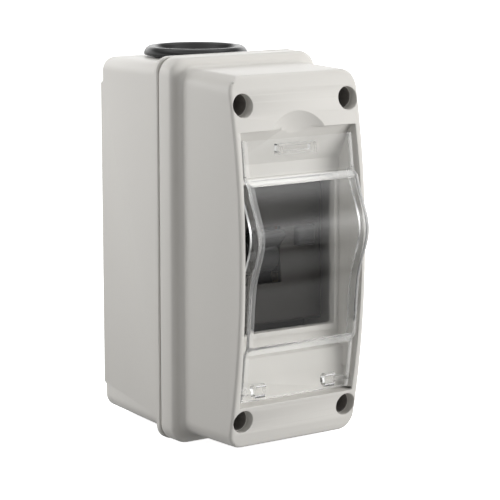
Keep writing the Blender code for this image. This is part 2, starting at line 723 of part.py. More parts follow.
def make_front_cover():
    back = DEVICE_SPLIT_Y - GAP
    body = device_shell("device_front_cover", (back, SHOULDER_FRONT_Y), DEVICE_HALF_HEIGHT)
    nose = loft(
        "nose",
        [
            (SHOULDER_FRONT_Y + 1 * MM, 2 * DEVICE_HALF_WIDTH, 2 * NOSE_HALF_HEIGHT, 0.6 * MM, 0.0),
            (NOSE_FRONT_Y + 0.8 * MM, 2 * DEVICE_HALF_WIDTH, 2 * NOSE_HALF_HEIGHT, 0.6 * MM, 0.0),
            (NOSE_FRONT_Y, 2 * DEVICE_HALF_WIDTH - 1.2 * MM, 2 * NOSE_HALF_HEIGHT - 1.6 * MM, 0.6 * MM, 0.0),
        ],
        steps=2,
    )
    join(body, nose)
    inner = DEVICE_HALF_HEIGHT - DEVICE_WALL
    cut(body, hollow_box("hollow", SHOULDER_FRONT_Y + DEVICE_WALL, back + 1 * MM, inner))
    nose_inner = NOSE_HALF_HEIGHT - DEVICE_WALL
    cut(body, hollow_box("nose_hollow", NOSE_FRONT_Y + DEVICE_WALL, back + 1 * MM, nose_inner))
    slot_half = TOGGLE_HALF_WIDTH + 0.5 * MM
    cut(
        body,
        box(
            "toggle_slot",
            (TOGGLE_X - slot_half, NOSE_FRONT_Y - 1 * MM, -9 * MM),
            (TOGGLE_X + slot_half, NOSE_FRONT_Y + 3 * MM, 9 * MM),
        ),
        box(
            "button_hole",
            (BUTTON_X - 3.5 * MM, NOSE_FRONT_Y - 1 * MM, BUTTON_Z - 3.5 * MM),
            (BUTTON_X + 3.5 * MM, NOSE_FRONT_Y + 3 * MM, BUTTON_Z + 3.5 * MM),
        ),
    )
    for x, z in corners(POLE_X, TERMINAL_Z):
        end = math.copysign(DEVICE_HALF_HEIGHT, z)
        low_z, high_z = sorted((end - math.copysign(3 * MM, z), end + math.copysign(3 * MM, z)))
        cut(
            body,
            rod("driver_hole", (x, -60 * MM, z), (x, -52 * MM, z), 3.3 * MM, sides=20),
            box("wire_entry", (x - 4 * MM, -49 * MM, low_z), (x + 4 * MM, -40 * MM, high_z)),
        )
    inside = DEVICE_HALF_WIDTH - DEVICE_WALL
    for y, z, radius in ((TOGGLE_Y, 0.0, 1.5 * MM), (CARRIER_Y, CARRIER_Z, 1.8 * MM)):
        for side in (-1, 1):
            start, end = side * (inside - 1 * MM), side * (inside + 0.9 * MM)
            cut(body, rod("bearing", (start, y, z), (end, y, z), radius, sides=16))
    finish(body, "device_plastic")


def make_din_clip():
    flange_back = RAIL_BACK_Y - RAIL_DEPTH + RAIL_SHEET
    edge = -RAIL_HALF_HEIGHT - GAP
    front, back = DEVICE_BACK_Y + GAP, -8.6 * MM
    clip = box("din_clip", (-6.4 * MM, front, -45.0 * MM), (6.4 * MM, back, edge))
    join(clip, box("lip", (-6.4 * MM, flange_back + GAP, edge - 1 * MM), (6.4 * MM, back, edge + 1.6 * MM)))
    cut(clip, box("pull_slot", (-3 * MM, -20 * MM, -43.6 * MM), (3 * MM, 0, -41.8 * MM)))
    cut(clip, box("spring_gap", (-3.6 * MM, -20 * MM, -36 * MM), (3.6 * MM, 0, -23 * MM)))
    finish(clip, "inner_plastic")


def make_toggle():
    low_x, high_x = TOGGLE_X - TOGGLE_HALF_WIDTH, TOGGLE_X + TOGGLE_HALF_WIDTH
    barrel = rod("toggle", (low_x, TOGGLE_Y, 0), (high_x, TOGGLE_Y, 0), TOGGLE_RADIUS, sides=40)
    out = Vector((0, -math.cos(TOGGLE_REST_ANGLE), math.sin(TOGGLE_REST_ANGLE)))
    across = Vector((0, -math.sin(TOGGLE_REST_ANGLE), -math.cos(TOGGLE_REST_ANGLE)))
    centre = Vector((0, TOGGLE_Y, 0))
    outline = []
    half_outline = [(3.0, 2.6), (8.4, 2.4), (12.0, 1.5), (12.4, 0.9)]
    mirrored = [(reach, -half) for reach, half in half_outline]
    for reach, half in mirrored + half_outline[::-1]:
        point = centre + out * reach * MM + across * half * MM
        outline.append((point.y, point.z))
    join(barrel, slab("lever", outline, low_x + 0.6 * MM, high_x - 0.6 * MM))
    cut(barrel, rod("bore", (-20 * MM, TOGGLE_Y, 0), (20 * MM, TOGGLE_Y, 0), 1.6 * MM, sides=20))
    finish(barrel, "toggle_plastic")
    reach = DEVICE_HALF_WIDTH - DEVICE_WALL + 0.6 * MM
    finish(rod("toggle_axle", (-reach, TOGGLE_Y, 0), (reach, TOGGLE_Y, 0), 1.2 * MM, sides=20), "zinc_steel")
    start = (high_x + 1.2 * MM, TOGGLE_Y, 0)
    finish(wire("toggle_spring", helix(start, "X", 2.4 * MM, 3.2 * MM, 4), 0.32 * MM, 1), "zinc_steel")


def make_test_button():
    x, z = BUTTON_X, BUTTON_Z
    front = NOSE_FRONT_Y - 1.4 * MM
    button = loft(
        "test_button",
        [
            (front, 5.4 * MM, 5.4 * MM, 0.8 * MM, z),
            (front + 0.7 * MM, 6.4 * MM, 6.4 * MM, 1.0 * MM, z),
            (NOSE_FRONT_Y + DEVICE_WALL + 0.8 * MM, 6.4 * MM, 6.4 * MM, 1.0 * MM, z),
        ],
    )
    flange_front = NOSE_FRONT_Y + DEVICE_WALL + GAP
    join(
        button,
        loft(
            "button_flange",
            [(y, 8.4 * MM, 8.4 * MM, 1.0 * MM, z) for y in (flange_front, flange_front + 1.2 * MM)],
        ),
    )
    button.data.transform(Matrix.Translation((x, 0, 0)))
    finish(button, "toggle_plastic")
    start = (x, -59.9 * MM, z)
    finish(wire("test_button_spring", helix(start, "Y", 2.2 * MM, 3.6 * MM, 4), 0.3 * MM, 1), "zinc_steel")
    low, high = (x - 2.8 * MM, -55.4 * MM, z - 11 * MM), (x + 2.8 * MM, -54.9 * MM, z + 4 * MM)
    leaf = box("test_contact", low, high)
    finish(leaf, "copper")
    resistor = turned(
        "test_resistor",
        [
            (0.0, -6.5 * MM),
            (1.9 * MM, -6.5 * MM),
            (2.2 * MM, -5.2 * MM),
            (1.9 * MM, -4.2 * MM),
            (1.9 * MM, 4.2 * MM),
            (2.2 * MM, 5.2 * MM),
            (1.9 * MM, 6.5 * MM),
            (0.0, 6.5 * MM),
        ],
        (13.0 * MM, -51.0 * MM, -15.5 * MM),
        sides=24,
    )
    finish(resistor, "resistor_glaze")


def make_terminals():
    """Four box clamps of zinc-plated steel, each with its screw, numbered from the top left."""
    for number, (x, z) in enumerate(corners(POLE_X, TERMINAL_Z), 1):
        half = 4.6 * MM
        low, high = (x - half, -50.0 * MM, z - half), (x + half, -37.6 * MM, z + half)
        clamp = box(f"terminal_clamp_{number}", low, high)
        cut(
            clamp,
            box("wire_way", (x - 3.2 * MM, -48.2 * MM, z - 6 * MM), (x + 3.2 * MM, -39.0 * MM, z + 6 * MM)),
            rod("thread", (x, -52 * MM, z), (x, -45 * MM, z), 2.2 * MM, sides=20),
        )
        finish(clamp, "zinc_steel")
        screw = turned(
            f"terminal_screw_{number}",
            [
                (0.0, 0.0),
                (1.5 * MM, 0.0),
                (1.9 * MM, 0.4 * MM),
                (1.9 * MM, 3.9 * MM),
                (2.9 * MM, 3.9 * MM),
                (2.9 * MM, 6.6 * MM),
                (2.5 * MM, 7.1 * MM),
                (0.0, 7.1 * MM),
            ],
            (x, -46.4 * MM, z),
            axis="Y",
            sides=20,
        )
        slot = box("slot", (x - 4 * MM, -54.5 * MM, z - 0.4 * MM), (x + 4 * MM, -52.3 * MM, z + 0.4 * MM))
        finish(cut(screw, slot), "zinc_steel")


def make_contacts():
    carrier = box("contact_carrier", (-14.4 * MM, -48.2 * MM, -5.0 * MM), (14.4 * MM, -44.2 * MM, 1.0 * MM))
    end = DEVICE_HALF_WIDTH - DEVICE_WALL + 0.5 * MM
    join(
        carrier,
        rod("stub", (-end, CARRIER_Y, CARRIER_Z), (end, CARRIER_Y, CARRIER_Z), 1.5 * MM, sides=16),
        box("back_plate", (-14.4 * MM, -48.2 * MM, 0.0), (14.4 * MM, -47.0 * MM, 9.4 * MM)),
    )
    finish(carrier, "inner_plastic")
    for side, word in ((-1, "left"), (1, "right")):
        x = side * POLE_X
        near, far = x - 2.5 * MM, x + 2.5 * MM
        fixed = box(f"fixed_contact_{word}", (near, -40.6 * MM, 10.4 * MM), (far, -39.4 * MM, 37.0 * MM))
        join(fixed, rod("tip", (x, -40.2 * MM, 14 * MM), (x, -41.5 * MM, 14 * MM), 2.0 * MM, sides=20))
        finish(fixed, "copper")
        arm = box(f"contact_arm_{word}", (near, -43.9 * MM, -4.6 * MM), (far, -42.7 * MM, 16.4 * MM))
        join(arm, rod("tip", (x, -43.0 * MM, 14 * MM), (x, -41.8 * MM, 14 * MM), 2.0 * MM, sides=20))
        finish(arm, "copper")
        start = (x, -46.4 * MM, 5.4 * MM)
        coil = helix(start, "Y", 1.6 * MM, 1.9 * MM, 3, 8)
        finish(wire(f"contact_spring_{word}", coil, 0.25 * MM, 1), "zinc_steel")
        low, high = (x - 4.0 * MM, -53.0 * MM, 19.0 * MM), (x + 4.0 * MM, -42.4 * MM, 27.6 * MM)
        chute = box(f"arc_chute_{word}", low, high)
        for slot in range(4):
            level = (19.9 + 2.0 * slot) * MM
            cut(chute, box("gap", (x - 5 * MM, -51.8 * MM, level), (x + 5 * MM, -40 * MM, level + 1.1 * MM)))
        finish(chute, "zinc_steel")


def make_sensor():
    """The summation transformer: a toroid round both supply conductors, its secondary wound on one side."""
    _, y, z = TOROID_CENTRE
    half = 4.0 * MM
    inner, outer = 5.5 * MM, 10.0 * MM
    profile = [(inner, -half), (outer, -half), (outer, half), (inner, half)]
    finish(turned("toroid_core", profile, TOROID_CENTRE, sides=36), "core_epoxy")
    finish(make_winding(inner, outer, half), "winding")
    for side, word in ((-1, "left"), (1, "right")):
        x, lane = side * POLE_X, side * 2.5 * MM
        route = [
            (x, -44.5 * MM, -37.0 * MM),
            (x, -44.5 * MM, -27.6 * MM),
            (x, -40.0 * MM, -25.2 * MM),
            (lane, -27.0 * MM, -25.2 * MM),
            (lane, y, -23.0 * MM),
            (lane, y, z + 6.5 * MM),
            (lane * 1.6, -28.0 * MM, -8.4 * MM),
            (x, -38.0 * MM, -8.4 * MM),
            (x, -41.4 * MM, -7.0 * MM),
        ]
        finish(wire(f"supply_conductor_{word}", route, 1.2 * MM, 2), "copper")


def make_winding(inner, outer, half):
    """A sleeve of square section round a third of the core, with clearance to it."""
    clear, thick = 0.3 * MM, 0.9 * MM
    shape = bmesh.new()
    rings = []
    for step in range(13):
        angle = math.radians(-50 + 100 * step / 12)
        ring = []
        for grow in (clear + thick, clear):
            for radius, height in (
                (inner - grow, -half - grow),
                (outer + grow, -half - grow),
                (outer + grow, half + grow),
                (inner - grow, half + grow),
            ):
                ring.append(shape.verts.new((radius * math.cos(angle), radius * math.sin(angle), height)))
        rings.append(ring)
    for first, second in zip(rings, rings[1:]):
        for start in (0, 4):
            for i in range(4):
                a, b = start + i, start + (i + 1) % 4
                shape.faces.new((first[a], first[b], second[b], second[a]))
    for ring in (rings[0], rings[-1]):
        for i in range(4):
            shape.faces.new((ring[i], ring[(i + 1) % 4], ring[4 + (i + 1) % 4], ring[4 + i]))
    bmesh.ops.translate(shape, vec=TOROID_CENTRE, verts=shape.verts)
    return mesh_object("secondary_winding", shape)


def make_relay():
    x, y = RELAY_X, RELAY_Y
    frame = box("relay_frame", (x - 6 * MM, y - 6.4 * MM, 2.6 * MM), (x + 6 * MM, y + 6.4 * MM, 18.6 * MM))
    cut(
        frame,
        box("window", (x - 8 * MM, y - 5.0 * MM, 4.0 * MM), (x + 8 * MM, y + 8.0 * MM, 17.2 * MM)),
        rod("plunger_way", (x, y, 16 * MM), (x, y, 20 * MM), 2.0 * MM, sides=20),
    )
    finish(frame, "zinc_steel")
    half = 4.8 * MM
    profile = [
        (2.0 * MM, 4.4 * MM),
        (half, 4.4 * MM),
        (half, 5.3 * MM),
        (4.3 * MM, 5.5 * MM),
        (4.3 * MM, 15.7 * MM),
        (half, 15.9 * MM),
        (half, 16.8 * MM),
        (2.0 * MM, 16.8 * MM),
    ]
    finish(turned("relay_coil", profile, (x, y, 0), sides=24), "winding")
    plunger = rod("relay_plunger", (x, y, 6.0 * MM), (x, y, 20.6 * MM), 1.6 * MM, sides=20)
    join(plunger, rod("head", (x, y, 20.4 * MM), (x, y, 22.0 * MM), 2.6 * MM, sides=20))
    finish(plunger, "zinc_steel")
    latch = slab(
        "trip_latch",
        [
            (-20.0 * MM, 22.6 * MM),
            (-30.0 * MM, 22.6 * MM),
            (-37.4 * MM, 23.6 * MM),
            (-37.4 * MM, 25.4 * MM),
            (-33.0 * MM, 26.6 * MM),
            (-29.0 * MM, 26.6 * MM),
            (-20.0 * MM, 24.4 * MM),
        ],
        x - 2.4 * MM,
        x + 2.4 * MM,
    )
    pivot_y, pivot_z = -31 * MM, 24.6 * MM
    bore_ends = [(x + along, pivot_y, pivot_z) for along in (-5 * MM, 5 * MM)]
    cut(latch, rod("pivot_bore", *bore_ends, 1.0 * MM, sides=16))
    finish(latch, "inner_plastic")
    pin_start = (-DEVICE_HALF_WIDTH + DEVICE_WALL + GAP, pivot_y, pivot_z)
    pin = rod("latch_pin", pin_start, (x + 4 * MM, pivot_y, pivot_z), 0.7 * MM, sides=16)
    finish(pin, "zinc_steel")


clear_scene()
PARTS = collection("residual_current_device")
make_box()
make_gasket()
make_lid()
make_window()
make_lid_screws()
make_gland()
make_rail()
make_earth_terminal()
make_rear_housing()
make_front_cover()
make_din_clip()
make_toggle()
make_test_button()
make_terminals()
make_contacts()
make_sensor()
make_relay()
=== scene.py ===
# %% [markdown]
# # A two-module residual current device in its wall box
#
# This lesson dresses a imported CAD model. The moulded shells, the clear window and the rubber cable
# entry are modelled again with soft edges and fillets, while the small inner parts keep their CAD shape
# and get proper finishes. The file is in metres, but the shapes are easier to read in millimetres, so
# the helpers take millimetres and multiply by MM. +Z is up, the front looks towards -Y, and the origin
# is the centre of the wall face.

import json
import math

import bmesh
import bpy
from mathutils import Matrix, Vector


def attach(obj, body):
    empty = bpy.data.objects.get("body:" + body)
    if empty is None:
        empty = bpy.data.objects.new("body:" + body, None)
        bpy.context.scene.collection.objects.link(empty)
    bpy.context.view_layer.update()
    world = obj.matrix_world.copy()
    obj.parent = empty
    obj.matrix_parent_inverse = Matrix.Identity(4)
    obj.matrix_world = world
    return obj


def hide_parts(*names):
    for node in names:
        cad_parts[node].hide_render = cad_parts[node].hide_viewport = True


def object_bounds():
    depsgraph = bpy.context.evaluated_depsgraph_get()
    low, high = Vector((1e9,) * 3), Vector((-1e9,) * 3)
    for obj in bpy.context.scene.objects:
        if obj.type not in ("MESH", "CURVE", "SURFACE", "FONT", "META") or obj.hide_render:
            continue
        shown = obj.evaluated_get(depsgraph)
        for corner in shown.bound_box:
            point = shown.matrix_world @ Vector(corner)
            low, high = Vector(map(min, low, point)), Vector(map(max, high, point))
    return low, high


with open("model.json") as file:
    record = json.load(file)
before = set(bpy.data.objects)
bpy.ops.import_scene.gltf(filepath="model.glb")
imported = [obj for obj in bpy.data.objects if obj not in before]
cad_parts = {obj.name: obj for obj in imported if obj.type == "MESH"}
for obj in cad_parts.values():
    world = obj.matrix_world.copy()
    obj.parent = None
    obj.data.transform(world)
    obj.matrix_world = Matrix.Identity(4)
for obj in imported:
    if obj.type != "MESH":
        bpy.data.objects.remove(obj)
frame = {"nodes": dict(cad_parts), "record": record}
nodes = frame["nodes"]
cad_low, cad_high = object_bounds()
MM = 0.001
print("CAD box in mm:", [round((b - a) / MM, 1) for a, b in zip(cad_low, cad_high)])

# %% [markdown]
# ## Camera, floor and studio light
#
# A long lens a little above the box gives the nearly parallel edges of a catalogue picture. The box
# stands on a wide pale floor in a white room, so its sides are told apart by soft lights and not by
# hard shadows.

# %% Camera
CAMERA_PLACE = (-0.3844, -0.6020, 0.1201)
CAMERA_TILT, CAMERA_TURN = 79.81, -34.89
LENS, SENSOR = 153.0, 36.0
scene = bpy.context.scene
camera = bpy.data.objects.new("camera", bpy.data.cameras.new("camera"))
scene.collection.objects.link(camera)
camera.location = CAMERA_PLACE
camera.rotation_euler = (math.radians(CAMERA_TILT), 0.0, math.radians(CAMERA_TURN))
camera.data.lens = LENS
camera.data.sensor_width = SENSOR
scene.camera = camera
scene.view_settings.view_transform = "Standard"
print("camera at", [round(v, 3) for v in camera.location])

# %% [markdown]
# A large soft lamp from the right lights the face and leaves the walls that look left in shade, one
# overhead lights the tops, and a close one behind on the left grazes the sides. They are hidden from
# mirrored rays, because a lamp's outline in the clear window looks like a stain. Only the narrow strip
# far on the left may be mirrored, where it draws a line along the edges.

# %% Lamps
LAMPS = {
    # name: place, target, width, height, watts, seen in reflections
    "key_right": ((0.74, -0.95, 0.14), (0.0, -0.05, 0.0), 0.7, 0.36, 13.6, False),
    "top": ((0.0, 0.05, 1.0), (0.0, -0.03, 0.0), 0.6, 0.6, 4.4, False),
    "side_back": ((-0.34, 0.30, 0.10), (-0.02, -0.02, 0.0), 0.25, 0.30, 1.25, False),
    "edge_left": ((-0.90, -0.25, 0.05), (0.0, -0.03, 0.0), 0.12, 0.80, 0.9, True),
}
for name, (place, target, width, height, watts, in_reflections) in LAMPS.items():
    lamp = bpy.data.lights.new(name, "AREA")
    lamp.shape = "RECTANGLE"
    lamp.size, lamp.size_y = width, height
    lamp.energy = watts
    holder = bpy.data.objects.new(name, lamp)
    scene.collection.objects.link(holder)
    holder.location = place
    holder.visible_glossy = in_reflections
    holder.visible_transmission = in_reflections
    aim = Vector(target) - Vector(place)
    holder.rotation_euler = aim.to_track_quat("-Z", "Y").to_euler()
print(len(LAMPS), "lamps")

# %% [markdown]
# The room answers each kind of ray in its own way. The camera sees plain white, and matt surfaces
# receive a weak even light. Polished plastic would look dead with nothing to mirror, so mirrored rays
# meet bands that change with the height they look to, as in a studio: a pale table with a dark gap
# under its edge, a wide softbox on the wall, a dim strip, and a bright panel in the ceiling.

# %% Room
SOFT_LIGHT = 0.27
BRIGHTEST = 2.0
BANDS = {
    # band: (sine of the elevation, brightness) at each of its stops, from below to above
    "table": [(-1.0, 0.6), (-0.80, 0.5), (-0.69, 0.42)],
    "gap under the edge": [(-0.64, 0.27), (-0.59, 0.12), (-0.54, 0.06), (-0.48, 0.30)],
    "table edge": [(-0.43, 0.45), (-0.32, 0.38), (-0.26, 0.62)],
    "wall": [(-0.10, 0.85), (0.08, 1.1)],
    "softbox": [(0.20, 1.6), (0.34, 1.8), (0.42, 1.3)],
    "dim strip": [(0.48, 0.75), (0.53, 0.34), (0.60, 0.34), (0.74, 0.8)],
    "ceiling panel": [(0.85, 2.0), (0.95, 1.4), (1.0, 1.0)],
}
world = bpy.data.worlds.new("white_room")
scene.world = world
world.use_nodes = True
air = world.node_tree
air.nodes.clear()
direction = air.nodes.new("ShaderNodeTexCoord")
split = air.nodes.new("ShaderNodeSeparateXYZ")
air.links.new(direction.outputs["Generated"], split.inputs["Vector"])
upward = air.nodes.new("ShaderNodeMapRange")
upward.inputs["From Min"].default_value = -1.0
air.links.new(split.outputs["Z"], upward.inputs["Value"])
bands = air.nodes.new("ShaderNodeValToRGB")
for spare in list(bands.color_ramp.elements)[1:]:
    bands.color_ramp.elements.remove(spare)
stops = [stop for band in BANDS.values() for stop in band]
for index, (sine, level) in enumerate(stops):
    share = (sine + 1) / 2
    stop = bands.color_ramp.elements[0] if index == 0 else bands.color_ramp.elements.new(share)
    stop.position = share
    stop.color = (level / BRIGHTEST, level / BRIGHTEST, level / BRIGHTEST, 1.0)
air.links.new(upward.outputs["Result"], bands.inputs["Fac"])
rays = air.nodes.new("ShaderNodeLightPath")


def room(strength, colour=None):
    """An even glow, or one tinted by the colour that is linked in."""
    made = air.nodes.new("ShaderNodeBackground")
    made.inputs["Color"].default_value = (1.0, 1.0, 1.0, 1.0)
    made.inputs["Strength"].default_value = strength
    if colour:
        air.links.new(colour, made.inputs["Color"])
    return made.outputs["Background"]


def choice(ray, otherwise, chosen):
    """One shader for a kind of ray and another for all the rest."""
    made = air.nodes.new("ShaderNodeMixShader")
    air.links.new(rays.outputs[ray], made.inputs["Fac"])
    air.links.new(otherwise, made.inputs[1])
    air.links.new(chosen, made.inputs[2])
    return made.outputs["Shader"]


mirrored = choice("Is Diffuse Ray", room(BRIGHTEST, bands.outputs["Color"]), room(SOFT_LIGHT))
sky = air.nodes.new("ShaderNodeOutputWorld")
air.links.new(choice("Is Camera Ray", mirrored, room(1.0)), sky.inputs["Surface"])
print("room:", len(stops), "stops in", len(BANDS), "bands")

# %% [markdown]
# ## Modelling helpers
#
# A few small tools repeat what a hand does in Blender: clear the selection, add a primitive at its size
# and place, select faces or edges by where they lie, and apply a modifier as soon as it is set.

# %% Selection helpers
def rest():
    """Object mode with nothing selected."""
    if bpy.context.mode != "OBJECT":
        bpy.ops.object.mode_set(mode="OBJECT")
    bpy.ops.object.select_all(action="DESELECT")


def pick(piece):
    """Selects one piece alone and makes it the active one."""
    rest()
    piece.select_set(True)
    bpy.context.view_layer.objects.active = piece


def choose(piece, kind, test):
    """Edit mode with only the faces or the edges that pass the test selected."""
    pick(piece)
    bpy.ops.object.mode_set(mode="EDIT")
    bpy.ops.mesh.select_mode(type={"faces": "FACE", "edges": "EDGE"}[kind])
    bpy.ops.mesh.select_all(action="DESELECT")
    shape = bmesh.from_edit_mesh(piece.data)
    found = [part for part in getattr(shape, kind) if test(part)]
    for part in found:
        part.select_set(True)
    bmesh.update_edit_mesh(piece.data)


def front_to_back(edge):
    run = edge.verts[1].co - edge.verts[0].co
    return run.length > 0 and abs(run.y) > 0.999 * run.length


def looks_forward(face):
    return face.normal.y < -0.99


# %% Primitive helpers
def settle(made, name):
    """Moves place, turn and size into the mesh."""
    made.name = name
    bpy.ops.object.transform_apply(location=True, rotation=True, scale=True)
    return made


def block(name, low, high):
    """A cube between two corners, in millimetres."""
    rest()
    low, high = Vector(low) * MM, Vector(high) * MM
    bpy.ops.mesh.primitive_cube_add(size=1, location=(low + high) / 2)
    bpy.context.object.scale = high - low
    return settle(bpy.context.object, name)


def rod(name, start, end, radius, sides=48):
    """A cylinder between two points, in millimetres."""
    rest()
    start, end = Vector(start) * MM, Vector(end) * MM
    run = end - start
    bpy.ops.mesh.primitive_cylinder_add(
        vertices=sides, radius=radius * MM, depth=run.length, location=(start + end) / 2,
        rotation=run.to_track_quat("Z", "Y").to_euler(),
    )
    return settle(bpy.context.object, name)


def outline_piece(name, points, low_x, high_x):
    """A prism: an outline of (y, z) points pulled along X, in millimetres."""
    rest()
    bpy.ops.mesh.primitive_circle_add(vertices=len(points), radius=1, fill_type="NGON")
    made = bpy.context.object
    for vertex, (y, z) in zip(made.data.vertices, points):
        vertex.co = Vector((low_x, y, z)) * MM
    pick(made)
    bpy.ops.object.mode_set(mode="EDIT")
    bpy.ops.mesh.select_all(action="SELECT")
    bpy.ops.mesh.extrude_region_move(TRANSFORM_OT_translate={"value": ((high_x - low_x) * MM, 0, 0)})
    bpy.ops.mesh.select_all(action="SELECT")
    bpy.ops.mesh.normals_make_consistent(inside=False)
    bpy.ops.object.mode_set(mode="OBJECT")
    return settle(made, name)


def spun(name, points, centre, steps):
    """A closed outline of (radius, height) points, in millimetres, spun round an upright axis."""
    rest()
    bpy.ops.mesh.primitive_circle_add(vertices=len(points), radius=1, fill_type="NOTHING")
    made = bpy.context.object
    for vertex, (radius, height) in zip(made.data.vertices, points):
        vertex.co = Vector((radius, 0, height)) * MM
    pick(made)
    bpy.ops.object.mode_set(mode="EDIT")
    bpy.ops.mesh.select_all(action="SELECT")
    bpy.ops.mesh.spin(steps=steps, angle=math.tau, center=(0, 0, 0), axis=(0, 0, 1))
    bpy.ops.mesh.select_all(action="SELECT")
    bpy.ops.mesh.remove_doubles(threshold=1e-6)
    bpy.ops.mesh.dissolve_degenerate(threshold=1e-7)
    bpy.ops.mesh.select_all(action="SELECT")
    bpy.ops.mesh.normals_make_consistent(inside=False)
    bpy.ops.object.mode_set(mode="OBJECT")
    made.location = Vector(centre) * MM
    return settle(made, name)


# %% Modifier helpers
def applied(piece, kind, **settings):
    """Adds one modifier and applies it at once."""
    pick(piece)
    modifier = piece.modifiers.new(kind.lower(), kind)
    for key, value in settings.items():
        setattr(modifier, key, value)
    bpy.ops.object.modifier_apply(modifier=modifier.name)
    return piece


def combine(piece, other, operation, solver="EXACT"):
    """A Boolean that uses the other piece up."""
    applied(piece, "BOOLEAN", object=other, operation=operation, solver=solver)
    bpy.data.objects.remove(other, do_unlink=True)
    return piece


def carve(piece, *cutters):
    for cutter in cutters:
        combine(piece, cutter, "DIFFERENCE")


def unite(piece, *others, solver="EXACT"):
    for other in others:
        combine(piece, other, "UNION", solver)


def merged(piece, distance=0.01):
    """Merges points closer than a distance, in millimetres, and drops flat edges."""
    pick(piece)
    bpy.ops.object.mode_set(mode="EDIT")
    bpy.ops.mesh.select_all(action="SELECT")
    bpy.ops.mesh.remove_doubles(threshold=distance * MM)
    bpy.ops.mesh.dissolve_limited(angle_limit=math.radians(0.05))
    bpy.ops.mesh.select_all(action="SELECT")
    bpy.ops.mesh.normals_make_consistent(inside=False)
    bpy.ops.object.mode_set(mode="OBJECT")


def soften(piece, width, segments=2, angle=40):
    """Rounds every edge sharper than an angle, in millimetres and degrees."""
    return applied(
        piece, "BEVEL", width=width * MM, segments=segments, limit_method="ANGLE",
        angle_limit=math.radians(angle), use_clamp_overlap=False, miter_outer="MITER_ARC",
    )


def smooth(piece):
    """Smooth shading that keeps edges over 30 degrees sharp."""
    pick(piece)
    bpy.ops.object.shade_smooth_by_angle(angle=math.radians(30))


def rounded_block(name, low, high, radius, steps=8):
    """A block whose four edges from front to back are round."""
    made = block(name, low, high)
    choose(made, "edges", front_to_back)
    bpy.ops.mesh.bevel(offset=radius * MM, segments=steps, affect="EDGES")
    bpy.ops.object.mode_set(mode="OBJECT")
    return made


def grow(piece, sections):
    """Pulls the front face on through (y, width, height) sections, in millimetres."""
    choose(piece, "faces", looks_forward)
    shape = bmesh.from_edit_mesh(piece.data)
    places = [v.co for v in shape.verts if v.select]
    y_now = places[0].y / MM
    width_now = 2 * max(p.x for p in places) / MM
    height_now = 2 * max(p.z for p in places) / MM
    for y, width, height in sections:
        bpy.ops.mesh.extrude_region_move(TRANSFORM_OT_translate={"value": (0, (y - y_now) * MM, 0)})
        bpy.ops.transform.resize(value=(width / width_now, 1, height / height_now))
        y_now, width_now, height_now = y, width, height
    bpy.ops.object.mode_set(mode="OBJECT")


def corners(x, z):
    """The four (x, z) places at one distance from the middle."""
    return [(side * x, end * z) for end in (1, -1) for side in (-1, 1)]


def turn_points(count):
    """Angles that divide a quarter turn."""
    return [math.pi / 2 * step / count for step in range(1, count + 1)]


# %% [markdown]
# ## Finishes
#
# Moulded plastic is never quite even: the mould is spark-eroded to a fine grain, and thick places sink
# and shine a little differently. One group makes that surface for every plastic here but the clear one:
# it puts out a colour that drifts gently, a roughness that varies, and a height for the bump. Metal gets
# its own group, with a grain drawn out along X and a faint stain.

# %% Node helpers
def new_group(name, inputs, outputs):
    """A node group with named sockets, and its two end nodes."""
    group = bpy.data.node_groups.new(name, "ShaderNodeTree")
    for label, kind, value in inputs:
        made = group.interface.new_socket(name=label, in_out="INPUT", socket_type=kind)
        made.default_value = value
    for label, kind in outputs:
        group.interface.new_socket(name=label, in_out="OUTPUT", socket_type=kind)
    return group, group.nodes.new("NodeGroupInput"), group.nodes.new("NodeGroupOutput")


def node(tree, kind, **settings):
    """A new node with its properties set."""
    made = tree.nodes.new(kind)
    for key, value in settings.items():
        setattr(made, key, value)
    return made


def maths(tree, operation, first, second, third=None):
    """The result of a Math node whose inputs are numbers or sockets."""
    made = node(tree, "ShaderNodeMath", operation=operation)
    for socket, value in zip(made.inputs, (first, second, third)):
        if isinstance(value, (int, float)):
            socket.default_value = value
        elif value is not None:
            tree.links.new(value, socket)
    return made.outputs[0]


# %% The moulded surface
moulded, inside, outside = new_group(
    "moulded_surface",
    [
        ("Color", "NodeSocketColor", (0.6, 0.6, 0.6, 1.0)),
        ("Tone Drift", "NodeSocketFloat", 0.03),
        ("Grain Scale", "NodeSocketFloat", 2500.0),
        ("Roughness", "NodeSocketFloat", 0.4),
        ("Roughness Drift", "NodeSocketFloat", 0.08),
    ],
    [("Color", "NodeSocketColor"), ("Roughness", "NodeSocketFloat"), ("Height", "NodeSocketFloat")],
)
where = node(moulded, "ShaderNodeTexCoord").outputs["Object"]
drift = node(moulded, "ShaderNodeTexNoise")
drift.inputs["Scale"].default_value = 28.0
drift.inputs["Detail"].default_value = 4.0
grain = node(moulded, "ShaderNodeTexNoise")
grain.inputs["Detail"].default_value = 3.0
grain.inputs["Roughness"].default_value = 0.6
for texture in (drift, grain):
    moulded.links.new(where, texture.inputs["Vector"])
moulded.links.new(inside.outputs["Grain Scale"], grain.inputs["Scale"])
swing = maths(moulded, "SUBTRACT", drift.outputs["Fac"], 0.5)
fine_swing = maths(moulded, "SUBTRACT", grain.outputs["Fac"], 0.5)
value = maths(moulded, "MULTIPLY_ADD", swing, inside.outputs["Tone Drift"], 1.0)
fine_drift = maths(moulded, "MULTIPLY", inside.outputs["Tone Drift"], 0.6)
value = maths(moulded, "MULTIPLY_ADD", fine_swing, fine_drift, value)
tone = node(moulded, "ShaderNodeHueSaturation")
moulded.links.new(value, tone.inputs["Value"])
moulded.links.new(inside.outputs["Color"], tone.inputs["Color"])
rough = maths(moulded, "MULTIPLY_ADD", swing, inside.outputs["Roughness Drift"], inside.outputs["Roughness"])
rough = maths(moulded, "MULTIPLY_ADD", fine_swing, inside.outputs["Roughness Drift"], rough)
